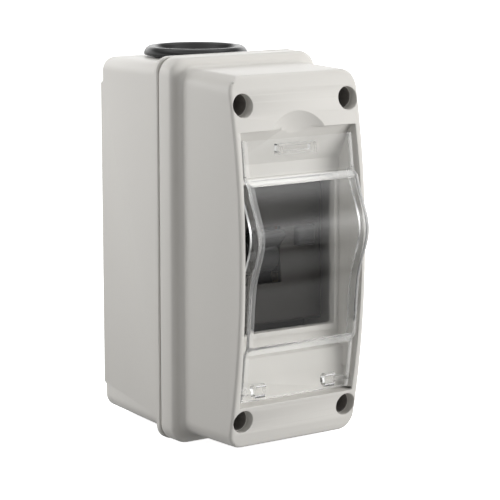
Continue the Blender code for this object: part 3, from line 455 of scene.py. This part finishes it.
moulded.links.new(tone.outputs["Color"], outside.inputs["Color"])
moulded.links.new(rough, outside.inputs["Roughness"])
moulded.links.new(grain.outputs["Fac"], outside.inputs["Height"])
print("moulded surface:", len(moulded.nodes), "nodes")

# %% The metal surface
metal, inside, outside = new_group(
    "metal_surface",
    [
        ("Color", "NodeSocketColor", (0.6, 0.6, 0.6, 1.0)),
        ("Stain", "NodeSocketColor", (0.3, 0.3, 0.3, 1.0)),
        ("Stain Share", "NodeSocketFloat", 0.2),
        ("Grain Scale", "NodeSocketFloat", 900.0),
        ("Roughness", "NodeSocketFloat", 0.3),
    ],
    [("Color", "NodeSocketColor"), ("Roughness", "NodeSocketFloat"), ("Height", "NodeSocketFloat")],
)
where = node(metal, "ShaderNodeTexCoord").outputs["Object"]
drawn = node(metal, "ShaderNodeMapping")
drawn.inputs["Scale"].default_value = (0.12, 1.0, 1.0)
metal.links.new(where, drawn.inputs["Vector"])
lines = node(metal, "ShaderNodeTexNoise")
lines.inputs["Detail"].default_value = 4.0
metal.links.new(drawn.outputs["Vector"], lines.inputs["Vector"])
metal.links.new(inside.outputs["Grain Scale"], lines.inputs["Scale"])
cloud = node(metal, "ShaderNodeTexNoise")
cloud.inputs["Scale"].default_value = 160.0
cloud.inputs["Detail"].default_value = 5.0
metal.links.new(where, cloud.inputs["Vector"])
share = maths(metal, "MULTIPLY", cloud.outputs["Fac"], inside.outputs["Stain Share"])
blend = node(metal, "ShaderNodeMix", data_type="RGBA")
metal.links.new(share, blend.inputs["Factor"])
metal.links.new(inside.outputs["Color"], blend.inputs["A"])
metal.links.new(inside.outputs["Stain"], blend.inputs["B"])
SCRATCHED = 0.16
smoothest = maths(metal, "SUBTRACT", inside.outputs["Roughness"], SCRATCHED / 2)
rough = maths(metal, "MULTIPLY_ADD", lines.outputs["Fac"], SCRATCHED, smoothest)
metal.links.new(blend.outputs["Result"], outside.inputs["Color"])
metal.links.new(rough, outside.inputs["Roughness"])
metal.links.new(lines.outputs["Fac"], outside.inputs["Height"])
print("metal surface:", len(metal.nodes), "nodes")


# %% Materials from the two groups
def finish_from(name, group, values, bump_strength, bump_distance, plain):
    """A material: the group drives colour, roughness and bump, and the plain values sit on the shader."""
    made = bpy.data.materials.new(name)
    made.use_nodes = True
    tree = made.node_tree
    shader = tree.nodes["Principled BSDF"]
    surface = node(tree, "ShaderNodeGroup", node_tree=group)
    for label, value in values.items():
        surface.inputs[label].default_value = (*value, 1.0) if isinstance(value, tuple) else value
    bump = node(tree, "ShaderNodeBump")
    bump.inputs["Strength"].default_value = bump_strength
    bump.inputs["Distance"].default_value = bump_distance * MM
    tree.links.new(surface.outputs["Color"], shader.inputs["Base Color"])
    tree.links.new(surface.outputs["Roughness"], shader.inputs["Roughness"])
    tree.links.new(surface.outputs["Height"], bump.inputs["Height"])
    tree.links.new(bump.outputs["Normal"], shader.inputs["Normal"])
    for label, value in plain.items():
        shader.inputs[label].default_value = value
    return made


PLASTIC_GRAIN_DEPTH, METAL_GRAIN_DEPTH = 0.02, 0.01
GENTLE_BUMP = 0.12


def plastic(name, colour, roughness, drift=0.03, grain=2500.0, strength=GENTLE_BUMP, **plain):
    values = {"Color": colour, "Tone Drift": drift, "Grain Scale": grain, "Roughness": roughness}
    return finish_from(name, moulded, values, strength, PLASTIC_GRAIN_DEPTH, plain)


def metal_finish(name, colour, stain, share, roughness):
    values = {"Color": colour, "Stain": stain, "Stain Share": share, "Roughness": roughness}
    return finish_from(name, metal, values, GENTLE_BUMP, METAL_GRAIN_DEPTH, {"Metallic": 1.0})


# %% [markdown]
# The shell is a warm light grey. The depths of the screw wells get a darker copy of the same plastic,
# which is painted shade. Rubber and the device reflect less than most plastics, so their specular level
# is lower; the device's near-black colour is painted shade for the dark bay behind the window. Each
# finish takes its colour, its roughness and how far its tone drifts.

# %% Plastics, rubber and metals
shell_finish = plastic("enclosure_plastic", (0.565, 0.550, 0.520), 0.33, drift=0.025)
# A darker copy of the shell plastic: painted shade for the depths of the screw wells.
well_shade_paint = plastic("enclosure_plastic_painted_shade", (0.15, 0.14, 0.13), 0.5, drift=0.05)
rubber_finish = plastic(
    "black_rubber", (0.010, 0.010, 0.010), 0.20, drift=0.3, grain=1800.0, **{"Specular IOR Level": 0.28}
)
# The device's near-black colour is painted shade: it stands in for the dark bay behind the window.
device_shade_paint = plastic(
    "device_plastic", (0.024, 0.022, 0.020), 0.5, drift=0.1, strength=0.3, **{"Specular IOR Level": 0.3}
)
# The toggle and test button are near-black too: painted shade in the same bay.
toggle_shade_paint = plastic("toggle_plastic", (0.018, 0.018, 0.018), 0.34, drift=0.1)
inner_finish = plastic("inner_plastic", (0.09, 0.09, 0.095), 0.5, drift=0.15, strength=0.3)
epoxy_finish = plastic("core_epoxy", (0.04, 0.11, 0.2), 0.35, drift=0.2, grain=900.0, strength=0.3)
glaze_finish = plastic("resistor_glaze", (0.36, 0.30, 0.19), 0.28, drift=0.2, grain=1200.0)
zinc_finish = metal_finish("zinc_steel", (0.60, 0.61, 0.62), (0.40, 0.42, 0.46), 0.35, 0.30)
copper_finish = metal_finish("copper", (0.78, 0.40, 0.25), (0.42, 0.18, 0.10), 0.5, 0.28)
brass_finish = metal_finish("brass", (0.75, 0.56, 0.26), (0.45, 0.30, 0.12), 0.4, 0.26)
print(len(bpy.data.materials), "materials")

# %% [markdown]
# The relay coil and the transformer's secondary are wound with enamelled copper wire. Turns of wire
# this fine are too small to model one by one, so a wave texture with bands across Z feeds both the bump
# and the colour.

# %% Wound wire
winding_finish = bpy.data.materials.new("winding")
winding_finish.use_nodes = True
tree = winding_finish.node_tree
shader = tree.nodes["Principled BSDF"]
where = node(tree, "ShaderNodeTexCoord").outputs["Object"]
turns = node(tree, "ShaderNodeTexWave", bands_direction="Z")
turns.inputs["Scale"].default_value = 700.0
turns.inputs["Distortion"].default_value = 0.4
tree.links.new(where, turns.inputs["Vector"])
shade = node(tree, "ShaderNodeMix", data_type="RGBA")
shade.inputs["A"].default_value = (0.20, 0.055, 0.02, 1.0)
shade.inputs["B"].default_value = (0.56, 0.20, 0.08, 1.0)
tree.links.new(turns.outputs["Fac"], shade.inputs["Factor"])
tree.links.new(shade.outputs["Result"], shader.inputs["Base Color"])
lift = node(tree, "ShaderNodeBump")
lift.inputs["Strength"].default_value = 0.8
lift.inputs["Distance"].default_value = 0.1 * MM
tree.links.new(turns.outputs["Fac"], lift.inputs["Height"])
tree.links.new(lift.outputs["Normal"], shader.inputs["Normal"])
shader.inputs["Roughness"].default_value = 0.25
shader.inputs["Metallic"].default_value = 0.4
shader.inputs["Coat Weight"].default_value = 0.4

# %% [markdown]
# The window is clear polycarbonate with polished faces. Glass in a path tracer shuts lamps out of what
# is behind it, so rays on their way to a lamp meet a clear pane instead. A faint unevenness in the
# normal keeps the reflections alive, because a moulded pane is never as flat as float glass.

# %% Clear polycarbonate
clear_finish = bpy.data.materials.new("clear_window")
clear_finish.use_nodes = True
tree = clear_finish.node_tree
shader = tree.nodes["Principled BSDF"]
shader.inputs["Base Color"].default_value = (0.965, 0.968, 0.965, 1.0)
shader.inputs["Roughness"].default_value = 0.02
shader.inputs["IOR"].default_value = 1.49
shader.inputs["Transmission Weight"].default_value = 1.0
where = node(tree, "ShaderNodeTexCoord").outputs["Object"]
flow = node(tree, "ShaderNodeTexNoise")
flow.inputs["Scale"].default_value = 90.0
flow.inputs["Detail"].default_value = 1.0
tree.links.new(where, flow.inputs["Vector"])
lift = node(tree, "ShaderNodeBump")
lift.inputs["Strength"].default_value = 0.06
lift.inputs["Distance"].default_value = 0.2 * MM
tree.links.new(flow.outputs["Fac"], lift.inputs["Height"])
tree.links.new(lift.outputs["Normal"], shader.inputs["Normal"])
path = node(tree, "ShaderNodeLightPath")
open_way = node(tree, "ShaderNodeBsdfTransparent")
open_way.inputs["Color"].default_value = (0.93, 0.93, 0.93, 1.0)
either = node(tree, "ShaderNodeMixShader")
tree.links.new(path.outputs["Is Shadow Ray"], either.inputs["Fac"])
tree.links.new(shader.outputs["BSDF"], either.inputs[1])
tree.links.new(open_way.outputs["BSDF"], either.inputs[2])
tree.links.new(either.outputs["Shader"], tree.nodes["Material Output"].inputs["Surface"])

# %% [markdown]
# Where the window bends or ends, the polish of the mould is lost and the plastic scatters light, so
# those faces read as pale lines. They get the same material with a rougher and partly opaque white
# surface; that white is partly real scatter and partly a painted highlight for the light the edges catch.

# %% Frosted window edges, partly a painted highlight
edge_frost_and_highlight_paint = clear_finish.copy()
edge_frost_and_highlight_paint.name = "clear_window_edge_with_painted_highlight"
shader = edge_frost_and_highlight_paint.node_tree.nodes["Principled BSDF"]
# This white partly stands in for the light the edges catch: a painted highlight.
shader.inputs["Base Color"].default_value = (0.93, 0.93, 0.92, 1.0)
shader.inputs["Roughness"].default_value = 0.10
shader.inputs["Transmission Weight"].default_value = 0.84

# %% [markdown]
# A finished piece is handed over in one call: it is shaded smooth, takes its material, says which body
# it moves with, and hides the CAD node that it stands for.

# %% Dressing a piece
def dress(piece, material):
    """Gives a piece one material and no other."""
    piece.data.materials.clear()
    piece.data.materials.append(material)


def hand_over(piece, material, slot, body, *replaced):
    """Finish, slot (not used), body and the CAD nodes that the piece stands for."""
    smooth(piece)
    dress(piece, material)
    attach(piece, body)
    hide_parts(*replaced)
    print(piece.name, len(piece.data.polygons), "faces")


def second_finish(piece, material, fits):
    """A further material for the faces whose middle, in millimetres, and normal pass the test."""
    piece.data.materials.append(material)
    changed = 0
    for face in piece.data.polygons:
        if fits(face.center / MM, face.normal):
            face.material_index = len(piece.data.materials) - 1
            changed += 1
    print(piece.name, changed, "faces in", material.name)


# %% [markdown]
# ## Floor
#
# A wide pale floor carries the box. It is a stage, not a part of the object. The camera sees it glow,
# so that it merges with the white room, while all other rays meet a duller sheet that throws little
# light back up. Mirrored rays miss it, so polished faces show the room's bands.

# %% Floor
FLOOR_SIZE = 6.0
FLOOR_GLOW = 0.85
rest()
bpy.ops.mesh.primitive_plane_add(size=FLOOR_SIZE, location=(0, 0, cad_low.z))
floor = settle(bpy.context.object, "floor")
paper = bpy.data.materials.new("white_floor")
paper.use_nodes = True
tree = paper.node_tree
bright = tree.nodes["Principled BSDF"]
bright.inputs["Base Color"].default_value = (0.9, 0.9, 0.9, 1.0)
bright.inputs["Roughness"].default_value = 0.9
bright.inputs["Emission Color"].default_value = (1, 1, 1, 1)
bright.inputs["Emission Strength"].default_value = FLOOR_GLOW
dull = node(tree, "ShaderNodeBsdfDiffuse")
dull.inputs["Color"].default_value = (0.35, 0.35, 0.35, 1.0)
path = node(tree, "ShaderNodeLightPath")
either = node(tree, "ShaderNodeMixShader")
tree.links.new(path.outputs["Is Camera Ray"], either.inputs["Fac"])
tree.links.new(dull.outputs["BSDF"], either.inputs[1])
tree.links.new(bright.outputs["BSDF"], either.inputs[2])
tree.links.new(either.outputs["Shader"], tree.nodes["Material Output"].inputs["Surface"])
floor.visible_glossy = False
floor.visible_transmission = False
dress(floor, paper)

# %% [markdown]
# ## The lid
#
# The lid is one moulding: a flange that meets the box, a waist, and a bowed face with a deep bay. It
# grows from a rounded block, whose front face is pulled on through the sections of the flange, the round
# shoulder, the hollow fillet and the tapered walls. A very large cylinder then gives the face its bow,
# and its rim is rounded before any opening is cut, so the round runs evenly all the way.

# %% Lid body
FACE_Y = -80.6
FACE_RADIUS = 251.0
FLANGE = (56.0, 123.8)
LID_BACK, FLANGE_START = -40.3, -41.0
SHOULDER_Y, SHOULDER_DEPTH, SHOULDER_INSET = -46.4, 1.8, 3.6
WAIST_Y, WAIST = -48.2, (52.4, 120.4)
FILLET_DEPTH, FILLET_INSET = 2.0, (3.1, 2.9)
WALL_END = (-82.0, 48.3, 116.0)
FACE_ROUND = 1.15


def face_y(z):
    """Depth of the bowed face at a height, in millimetres."""
    return FACE_Y + FACE_RADIUS - math.sqrt(FACE_RADIUS**2 - z**2)


lid = rounded_block("lid_shell", (-27.7, -40.7, -61.6), (27.7, LID_BACK, 61.6), 5.8)
sections = [(FLANGE_START, *FLANGE), (SHOULDER_Y, *FLANGE)]
for a in turn_points(4):
    width, height = (side - SHOULDER_INSET * (1 - math.cos(a)) for side in FLANGE)
    sections.append((SHOULDER_Y - SHOULDER_DEPTH * math.sin(a), width, height))
for a in turn_points(5):
    width, height = (side - inset * math.sin(a) for side, inset in zip(WAIST, FILLET_INSET))
    sections.append((WAIST_Y - FILLET_DEPTH * (1 - math.cos(a)), width, height))
sections.append(WALL_END)
grow(lid, sections)
bow_y = FACE_Y + FACE_RADIUS
combine(lid, rod("bow", (-40, bow_y, 0), (40, bow_y, 0), FACE_RADIUS, sides=720), "INTERSECT")
merged(lid, 0.05)
soften(lid, FACE_ROUND, segments=5, angle=60)
print("lid body", len(lid.data.polygons), "faces")

# %% [markdown]
# The inside of the lid follows the outside at one wall thickness, but leaves four posts for the screws
# and a wall behind the finger scoop. The bay in front is a prism whose sides lean in towards the mask.

# %% Lid hollow
WALL = 2.2
BAY_TOP, BAY_BOTTOM = 41.2, -44.6
SHELF_Y, SHELF_TOP = -71.2, -29.4
RAMP_Z, RAMP_TOP_Y = 31.0, -75.4
MASK_Y, MASK_BACK_Y, RIM_Y = -68.8, -66.8, -69.6
SCREW_X, SCREW_Z = 19.9, 49.3
POST_RADIUS = 4.7
LID_HALF = (24.15, 58.0)
HOLLOW_BACK = -40.0
SCOOP_CENTRE, SCOOP_RADIUS = Vector((0.0, -95.1, 38.0)), 20.8


def scoop_ball(radius):
    """The ball that hollows the scoop, cut off below the bay's top edge."""
    rest()
    bpy.ops.mesh.primitive_uv_sphere_add(
        segments=96, ring_count=64, radius=radius * MM, location=SCOOP_CENTRE * MM
    )
    ball = settle(bpy.context.object, "scoop_ball")
    return combine(ball, block("reach", (-20, -90, BAY_TOP - 3), (20, -60, 60)), "INTERSECT")


end = LID_HALF[1] - WALL
hollow = outline_piece(
    "lid_hollow",
    [
        (HOLLOW_BACK, end),
        (face_y(end) + WALL, end),
        (face_y(BAY_TOP) + WALL, BAY_TOP + WALL),
        (RAMP_TOP_Y + WALL, BAY_TOP + 0.4),
        (MASK_BACK_Y, RAMP_Z + 0.4),
        (MASK_BACK_Y, SHELF_TOP + 0.6),
        (SHELF_Y + WALL, SHELF_TOP - 1.4),
        (SHELF_Y + WALL, BAY_BOTTOM - WALL),
        (face_y(BAY_BOTTOM) + WALL, BAY_BOTTOM - WALL),
        (face_y(end) + WALL, -end),
        (HOLLOW_BACK, -end),
    ],
    -LID_HALF[0] + WALL,
    LID_HALF[0] - WALL,
)
for x, z in corners(SCREW_X, SCREW_Z):
    carve(hollow, rod("post", (x, 0, z), (x, FACE_Y, z), POST_RADIUS))
carve(hollow, scoop_ball(SCOOP_RADIUS + 1.6))
mouth = rounded_block("mouth", (-23.8, -41.5, -57.7), (23.8, -39.3, 57.7), 3.0)
carve(lid, hollow, mouth)
print("lid hollow", len(lid.data.polygons), "faces")

# %% Bay, mask and cut-out
BAY_FRONT, BAY_BACK = 22.4, 20.7
BAY_REACH = -84.6
RIM_HALF, OPENING_HALF = (19.7, 25.4), (18.55, 23.4)


def bay_half(y):
    """Half the bay's width at a depth, in millimetres."""
    return BAY_BACK + (BAY_FRONT - BAY_BACK) * (RIM_Y - y) / (RIM_Y - FACE_Y)


bay = outline_piece(
    "bay",
    [
        (BAY_REACH, BAY_BOTTOM),
        (SHELF_Y, BAY_BOTTOM),
        (SHELF_Y, SHELF_TOP - 1.4),
        (MASK_Y, SHELF_TOP),
        (MASK_Y, RAMP_Z - 1.0),
        (RAMP_TOP_Y, BAY_TOP),
        (BAY_REACH, BAY_TOP),
    ],
    -1,
    1,
)
for vertex in bay.data.vertices:
    y = vertex.co.y / MM
    vertex.co.x = math.copysign(bay_half(y), vertex.co.x) * MM
carve(lid, bay)
x, z = RIM_HALF
unite(lid, rounded_block("rim", (-x, RIM_Y, -z), (x, MASK_Y + 1.0, z), 0.4, steps=3))
x, z = OPENING_HALF
carve(lid, rounded_block("opening", (-x, -75, -z), (x, -60, z), 0.6, steps=3))
print("bay and cut-out", len(lid.data.polygons), "faces")

# %% [markdown]
# Each corner has a deep well for a lid screw, with a step a little way in that catches the light. Over
# the window's top edge a ball leaves the scoop for a fingertip, and two small sockets in the bay's sides
# hold the window's pins. Past its step a well is so deep that little light comes back, so its faces
# there are painted dark with the same plastic: painted shade.

# %% Wells, scoop and pin sockets
HINGE_Y, HINGE_Z = -74.4, -40.2
WELL_RADIUS, WELL_STEP = 3.6, 3.4
DEEP_RADIUS, DEEP_END = 3.2, -47.0
WAY_RADIUS = 1.8
SHADE_RADIUS, SHADE_DEPTH = 3.4, 2.6
for x, z in corners(SCREW_X, SCREW_Z):
    front = face_y(z)
    well = rod("well", (x, front - 6.0, z), (x, front + WELL_STEP, z), WELL_RADIUS, sides=64)
    deep = rod("deep_well", (x, FACE_Y, z), (x, DEEP_END, z), DEEP_RADIUS, sides=64)
    carve(lid, well, deep, rod("screw_way", (x, -60, z), (x, -39, z), WAY_RADIUS, sides=32))
carve(lid, scoop_ball(SCOOP_RADIUS))
carve(lid, block("hinge_relief", (-21.6, SHELF_Y - 5.2, BAY_BOTTOM), (21.6, SHELF_Y, HINGE_Z + 3)))
for side in (-1, 1):
    inner, outer = (side * 20.5, HINGE_Y, HINGE_Z), (side * 23.0, HINGE_Y, HINGE_Z)
    carve(lid, rod("socket", inner, outer, 1.35, sides=32))
merged(lid, 0.04)
soften(lid, 0.22, segments=2, angle=42)
hand_over(lid, shell_finish, "enclosure_plastic", "enclosure", "lid")


def painted_shade_in_well(middle, normal):
    """Faces inside a well, past its step, that take the painted shade."""
    from_axis = math.hypot(abs(middle.x) - SCREW_X, abs(middle.z) - SCREW_Z)
    return from_axis < SHADE_RADIUS and middle.y > face_y(middle.z) + SHADE_DEPTH


# The faces deep in the wells are painted dark, as painted shade.
second_finish(lid, well_shade_paint, painted_shade_in_well)

# %% [markdown]
# ## The box
#
# The rear half is a deep tray that widens slightly to the front, so that it leaves its mould, and ends
# in the flange that carries the lid. Its back is a flat pad that lies on the wall, stepped down at the
# top and the bottom. Inside stand four posts for the lid's screws and two bosses for the rail.

# %% Box shell
PAD_END, PAD_STEP = 51.0, -1.3
RAIL_HOLE_X, WALL_HOLE_Z = 12, 44
ENTRY_Y, ENTRY_RADIUS = -19.6, 14.0
box_shell = rounded_block("box_shell", (-24.85, -0.5, -59.0), (24.85, 0.0, 59.0), 4.5)
sections = [(-37.0, 51.6, 119.7), (-37.3, 52.4, 120.4), (-37.6, 53.6, 121.6), (-37.9, 55.2, 123.1)]
sections += [(-38.3, *FLANGE), (-39.6, *FLANGE), (-40.0, 55.4, 123.2)]
grow(box_shell, sections)
for end in (1, -1):
    low_z, high_z = sorted((end * PAD_END, end * 70.0))
    carve(box_shell, block("pad_step", (-40, PAD_STEP, low_z), (40, 5, high_z)))
merged(box_shell)
soften(box_shell, 0.7, segments=3, angle=70)
tray = rounded_block("tray", (-22.65, -3.0, -56.8), (22.65, -2.6, 56.8), 3.0)
grow(tray, [(-41.0, 46.9, 115.2)])
for x, z in corners(SCREW_X, SCREW_Z):
    carve(tray, rod("post", (x, 0, z), (x, -42, z), POST_RADIUS))
for x in (-RAIL_HOLE_X, RAIL_HOLE_X):
    carve(tray, rod("boss", (x, 0, 0), (x, -3.4, 0), 3.6))
carve(box_shell, tray)
for x, z in corners(SCREW_X, SCREW_Z):
    carve(box_shell, rod("screw_hole", (x, -14, z), (x, -41, z), WAY_RADIUS, sides=32))
for side in (-1, 1):
    x, z = side * RAIL_HOLE_X, side * WALL_HOLE_Z
    carve(box_shell, rod("rail_hole", (x, -1.2, 0), (x, -6, 0), 1.5, sides=32))
    carve(box_shell, rod("wall_hole", (0, 2, z), (0, -6, z), 2.3))
carve(box_shell, rod("entry", (0, ENTRY_Y, 53), (0, ENTRY_Y, 65), ENTRY_RADIUS, sides=96))
groove = rounded_block("groove", (-26.7, -41.0, -60.75), (26.7, -38.5, 60.75), 6.0)
carve(groove, rounded_block("groove_core", (-24.5, -42.0, -58.55), (24.5, -37.5, 58.55), 4.0))
carve(box_shell, groove)
merged(box_shell, 0.04)
hand_over(box_shell, shell_finish, "enclosure_plastic", "enclosure", "base_box")

# %% [markdown]
# ## The cable entry
#
# A rubber grommet fills the round hole in the top: a fat bead outside, a groove that grips the wall,
# and a thin membrane, sunk in the middle, that is cut to suit the cable. It is turned from one outline.

# %% Grommet
TOP = 59.85
grommet = spun(
    "grommet",
    [
        (0.0, TOP - 0.5),
        (5.0, TOP - 0.45),
        (8.6, TOP - 0.35),
        (9.2, TOP - 0.1),
        (10.0, TOP + 0.1),
        (11.2, TOP + 0.3),
        (12.4, TOP + 1.1),
        (13.0, TOP + 2.2),
        (13.6, TOP + 2.8),
        (14.4, TOP + 3.05),
        (15.4, TOP + 2.95),
        (16.2, TOP + 2.4),
        (16.8, TOP + 1.5),
        (17.0, TOP + 0.8),
        (16.9, TOP + 0.35),
        (13.7, TOP + 0.35),
        (13.7, 56.0),
        (15.2, 55.9),
        (15.0, 55.1),
        (14.2, 54.0),
        (12.0, 54.0),
        (11.4, TOP - 1.7),
        (0.0, TOP - 1.5),
    ],
    (0, ENTRY_Y, 0),
    steps=96,
)
hand_over(grommet, rubber_finish, "black_rubber", "enclosure", "cable_gland")

# %% [markdown]
# ## The window
#
# The window is a shell of even thickness: a panel that follows the bowed face at both ends, steps up
# above and below the device, and swells in a bell over the toggle. Its sides turn back as cheeks. A flat
# grid is bent to that form, row by row, with a small round where panel and cheek meet, and Solidify
# gives it its wall.

# %% Window form
WINDOW_LOW, WINDOW_HIGH = -43.0, 38.6
WINDOW_HALF = 21.2
BEND = 1.75
SHELL = 1.7
ROWS = 136
INSET, STEP_HEIGHT = 0.45, 1.4
STEP_UP, STEP_DOWN = (-28.0, -25.2), (25.2, 27.6)
BELL_Z, BELL_SPREAD, BELL_HEIGHT = 9.3, 10.9, 5.3
CHEEK_LIP, CHEEK_DEPTH = 0.15, 3.7
CHEEK_START, CHEEK_END = (-28.4, -26.6), (26.2, 27.8)


def ease(value, low, high):
    """A smooth step from 0 to 1 between two values."""
    t = min(1.0, max(0.0, (value - low) / (high - low)))
    return t * t * (3 - 2 * t)


def window_y(z):
    """Depth of the window's outer surface at a height, in millimetres."""
    raised = ease(z, *STEP_UP) * (1 - ease(z, *STEP_DOWN))
    swell = math.exp(-(((z - BELL_Z) / BELL_SPREAD) ** 2)) * raised
    return face_y(z) + INSET - STEP_HEIGHT * raised - BELL_HEIGHT * swell


def cheek_depth(z):
    """How far the sides turn back at a height, in millimetres."""
    return SHELL + CHEEK_LIP + CHEEK_DEPTH * ease(z, *CHEEK_START) * (1 - ease(z, *CHEEK_END))


def section(z):
    """Half of the U section from the middle out: (x, depth behind the outer surface)."""
    flat = WINDOW_HALF - BEND
    points = [(flat * step / 8, 0.0) for step in range(9)]
    points += [(flat + BEND * math.sin(a), BEND * (1 - math.cos(a))) for a in turn_points(4)]
    points += [(WINDOW_HALF, BEND + (cheek_depth(z) - BEND) * step / 4) for step in range(1, 5)]
    return points


ACROSS = 2 * len(section(0.0)) - 1
LEVELS = [WINDOW_LOW + (WINDOW_HIGH - WINDOW_LOW) * row / ROWS for row in range(ROWS + 1)]
rest()
bpy.ops.mesh.primitive_grid_add(x_subdivisions=ACROSS - 1, y_subdivisions=len(LEVELS) - 1, size=1)
window = bpy.context.object
for row, z in enumerate(LEVELS):
    half = section(z)
    whole = [(-x, depth) for x, depth in reversed(half[1:])] + half
    for column, (x, depth) in enumerate(whole):
        window.data.vertices[row * ACROSS + column].co = Vector((x, window_y(z) + depth, z)) * MM
settle(window, "clear_cover")
pick(window)
bpy.ops.object.mode_set(mode="EDIT")
bpy.ops.mesh.select_all(action="SELECT")
bpy.ops.mesh.normals_make_consistent(inside=False)
bpy.ops.object.mode_set(mode="OBJECT")
if sum(face.normal.y * face.area for face in window.data.polygons) > 0:
    pick(window)
    bpy.ops.object.mode_set(mode="EDIT")
    bpy.ops.mesh.select_all(action="SELECT")
    bpy.ops.mesh.flip_normals()
    bpy.ops.object.mode_set(mode="OBJECT")
applied(window, "SOLIDIFY", thickness=(SHELL - 0.1) * MM, offset=-1.0, use_even_offset=False)
print("window", len(window.data.polygons), "faces,", ACROSS, "points across")

# %% [markdown]
# Two arms at the bottom carry round knuckles, from which pins reach into the lid. At the top a small
# frame with a slot is the catch that clicks under the lid. At the bends, rims and steps, the faces then
# take the cloudy edge finish, whose white is partly a painted highlight.

# %% Window hinge arms and catch
ARM_INNER, ARM_OUTER, PIN_END = 11.6, 15.4, 22.4
KNUCKLE_RADIUS, PIN_RADIUS = 2.2, 1.0
arm_front = window_y(HINGE_Z) + 1.2
for side in (-1, 1):
    low_x, high_x = sorted((side * ARM_INNER, side * ARM_OUTER))
    pin_start, pin_end = (side * 15.0, HINGE_Y, HINGE_Z), (side * PIN_END, HINGE_Y, HINGE_Z)
    unite(
        window,
        block("arm", (low_x, arm_front, HINGE_Z - 1.6), (high_x, HINGE_Y + 1.0, HINGE_Z + 1.8)),
        rod("knuckle", (low_x, HINGE_Y, HINGE_Z), (high_x, HINGE_Y, HINGE_Z), KNUCKLE_RADIUS),
        rod("pin", pin_start, pin_end, PIN_RADIUS, sides=32),
        solver="MANIFOLD",
    )
catch_y = window_y(35.0)
catch = block("catch", (-7, catch_y + 1.0, 33.4), (7, catch_y + 4.2, 36.6))
carve(catch, block("catch_slot", (-5.4, catch_y + 2.2, 34.2), (5.4, catch_y + 6.0, 35.8)))
unite(window, catch, solver="MANIFOLD")
merged(window, 0.01)
hand_over(window, clear_finish, "clear_window", "window", "window")
STEEP, UPRIGHT, SIDEWAYS = 0.35, 0.9, 0.97
UPPER_STEP, LOWER_STEP = (24.6, 28.0), (-28.4, -24.6)


def at_edge(middle, normal):
    """The bends into the cheeks, the rims, and the steps above and below the device."""
    bend = abs(middle.x) > WINDOW_HALF - BEND and abs(normal.x) < SIDEWAYS
    by_step = any(low < middle.z < high for low, high in (UPPER_STEP, LOWER_STEP))
    step = abs(normal.z) > STEEP and by_step
    rim = abs(normal.z) > UPRIGHT
    return bend or step or rim


# The edge faces take the partly white finish: frosted plastic and partly a painted highlight.
second_finish(window, edge_frost_and_highlight_paint, at_edge)

# %% [markdown]
# ## The device
#
# The device's cover, housing, toggle and test button keep the CAD shape, but a mould has no sharp
# edges; their near-black finishes are painted shade for the dark bay. A copy of each CAD solid has its
# loose triangles merged into one shell and its edges slightly rounded, and then stands for the solid.

# %% Rounded copies of CAD solids
def rounded_copy(name, node_name, width):
    """A copy of a CAD solid with small rounds, in millimetres, free of the frame's own labels."""
    rest()
    made = nodes[node_name].copy()
    made.data = nodes[node_name].data.copy()
    made.parent = None
    for key in list(made.keys()):
        del made[key]
    scene.collection.objects.link(made)
    made.name = name
    pick(made)
    bpy.ops.object.mode_set(mode="EDIT")
    bpy.ops.mesh.select_all(action="SELECT")
    bpy.ops.mesh.remove_doubles(threshold=0.02 * MM)
    bpy.ops.object.mode_set(mode="OBJECT")
    return soften(made, width)


cover = rounded_copy("device_face", "device_front_cover", 0.25)
hand_over(cover, device_shade_paint, "device_plastic", "enclosure", "device_front_cover")
housing = rounded_copy("device_back", "device_rear_housing", 0.2)
hand_over(housing, device_shade_paint, "device_plastic", "enclosure", "device_rear_housing")
lever = rounded_copy("toggle_lever", "toggle", 0.25)
hand_over(lever, toggle_shade_paint, "toggle_plastic", "toggle", "toggle")
button = rounded_copy("test_key", "test_button", 0.2)
hand_over(button, toggle_shade_paint, "toggle_plastic", "test_button", "test_button")

# %% [markdown]
# ## Finishes for the parts that keep their CAD shape
#
# Screws, rail, clamps, contacts and the transformer stay as they are and only take the finish of their
# slot in the record.

# %% Dress the rest
BY_SLOT = {
    "black_rubber": rubber_finish,
    "device_plastic": device_shade_paint,
    "toggle_plastic": toggle_shade_paint,
    "inner_plastic": inner_finish,
    "zinc_steel": zinc_finish,
    "copper": copper_finish,
    "winding": winding_finish,
    "brass": brass_finish,
    "core_epoxy": epoxy_finish,
    "resistor_glaze": glaze_finish,
    "enclosure_plastic": shell_finish,
    "clear_window": clear_finish,
}
for part in frame["record"]["subparts"]:
    dress(nodes[part["node"]], BY_SLOT[part["material_slot"]])
print(len(nodes), "CAD nodes dressed")
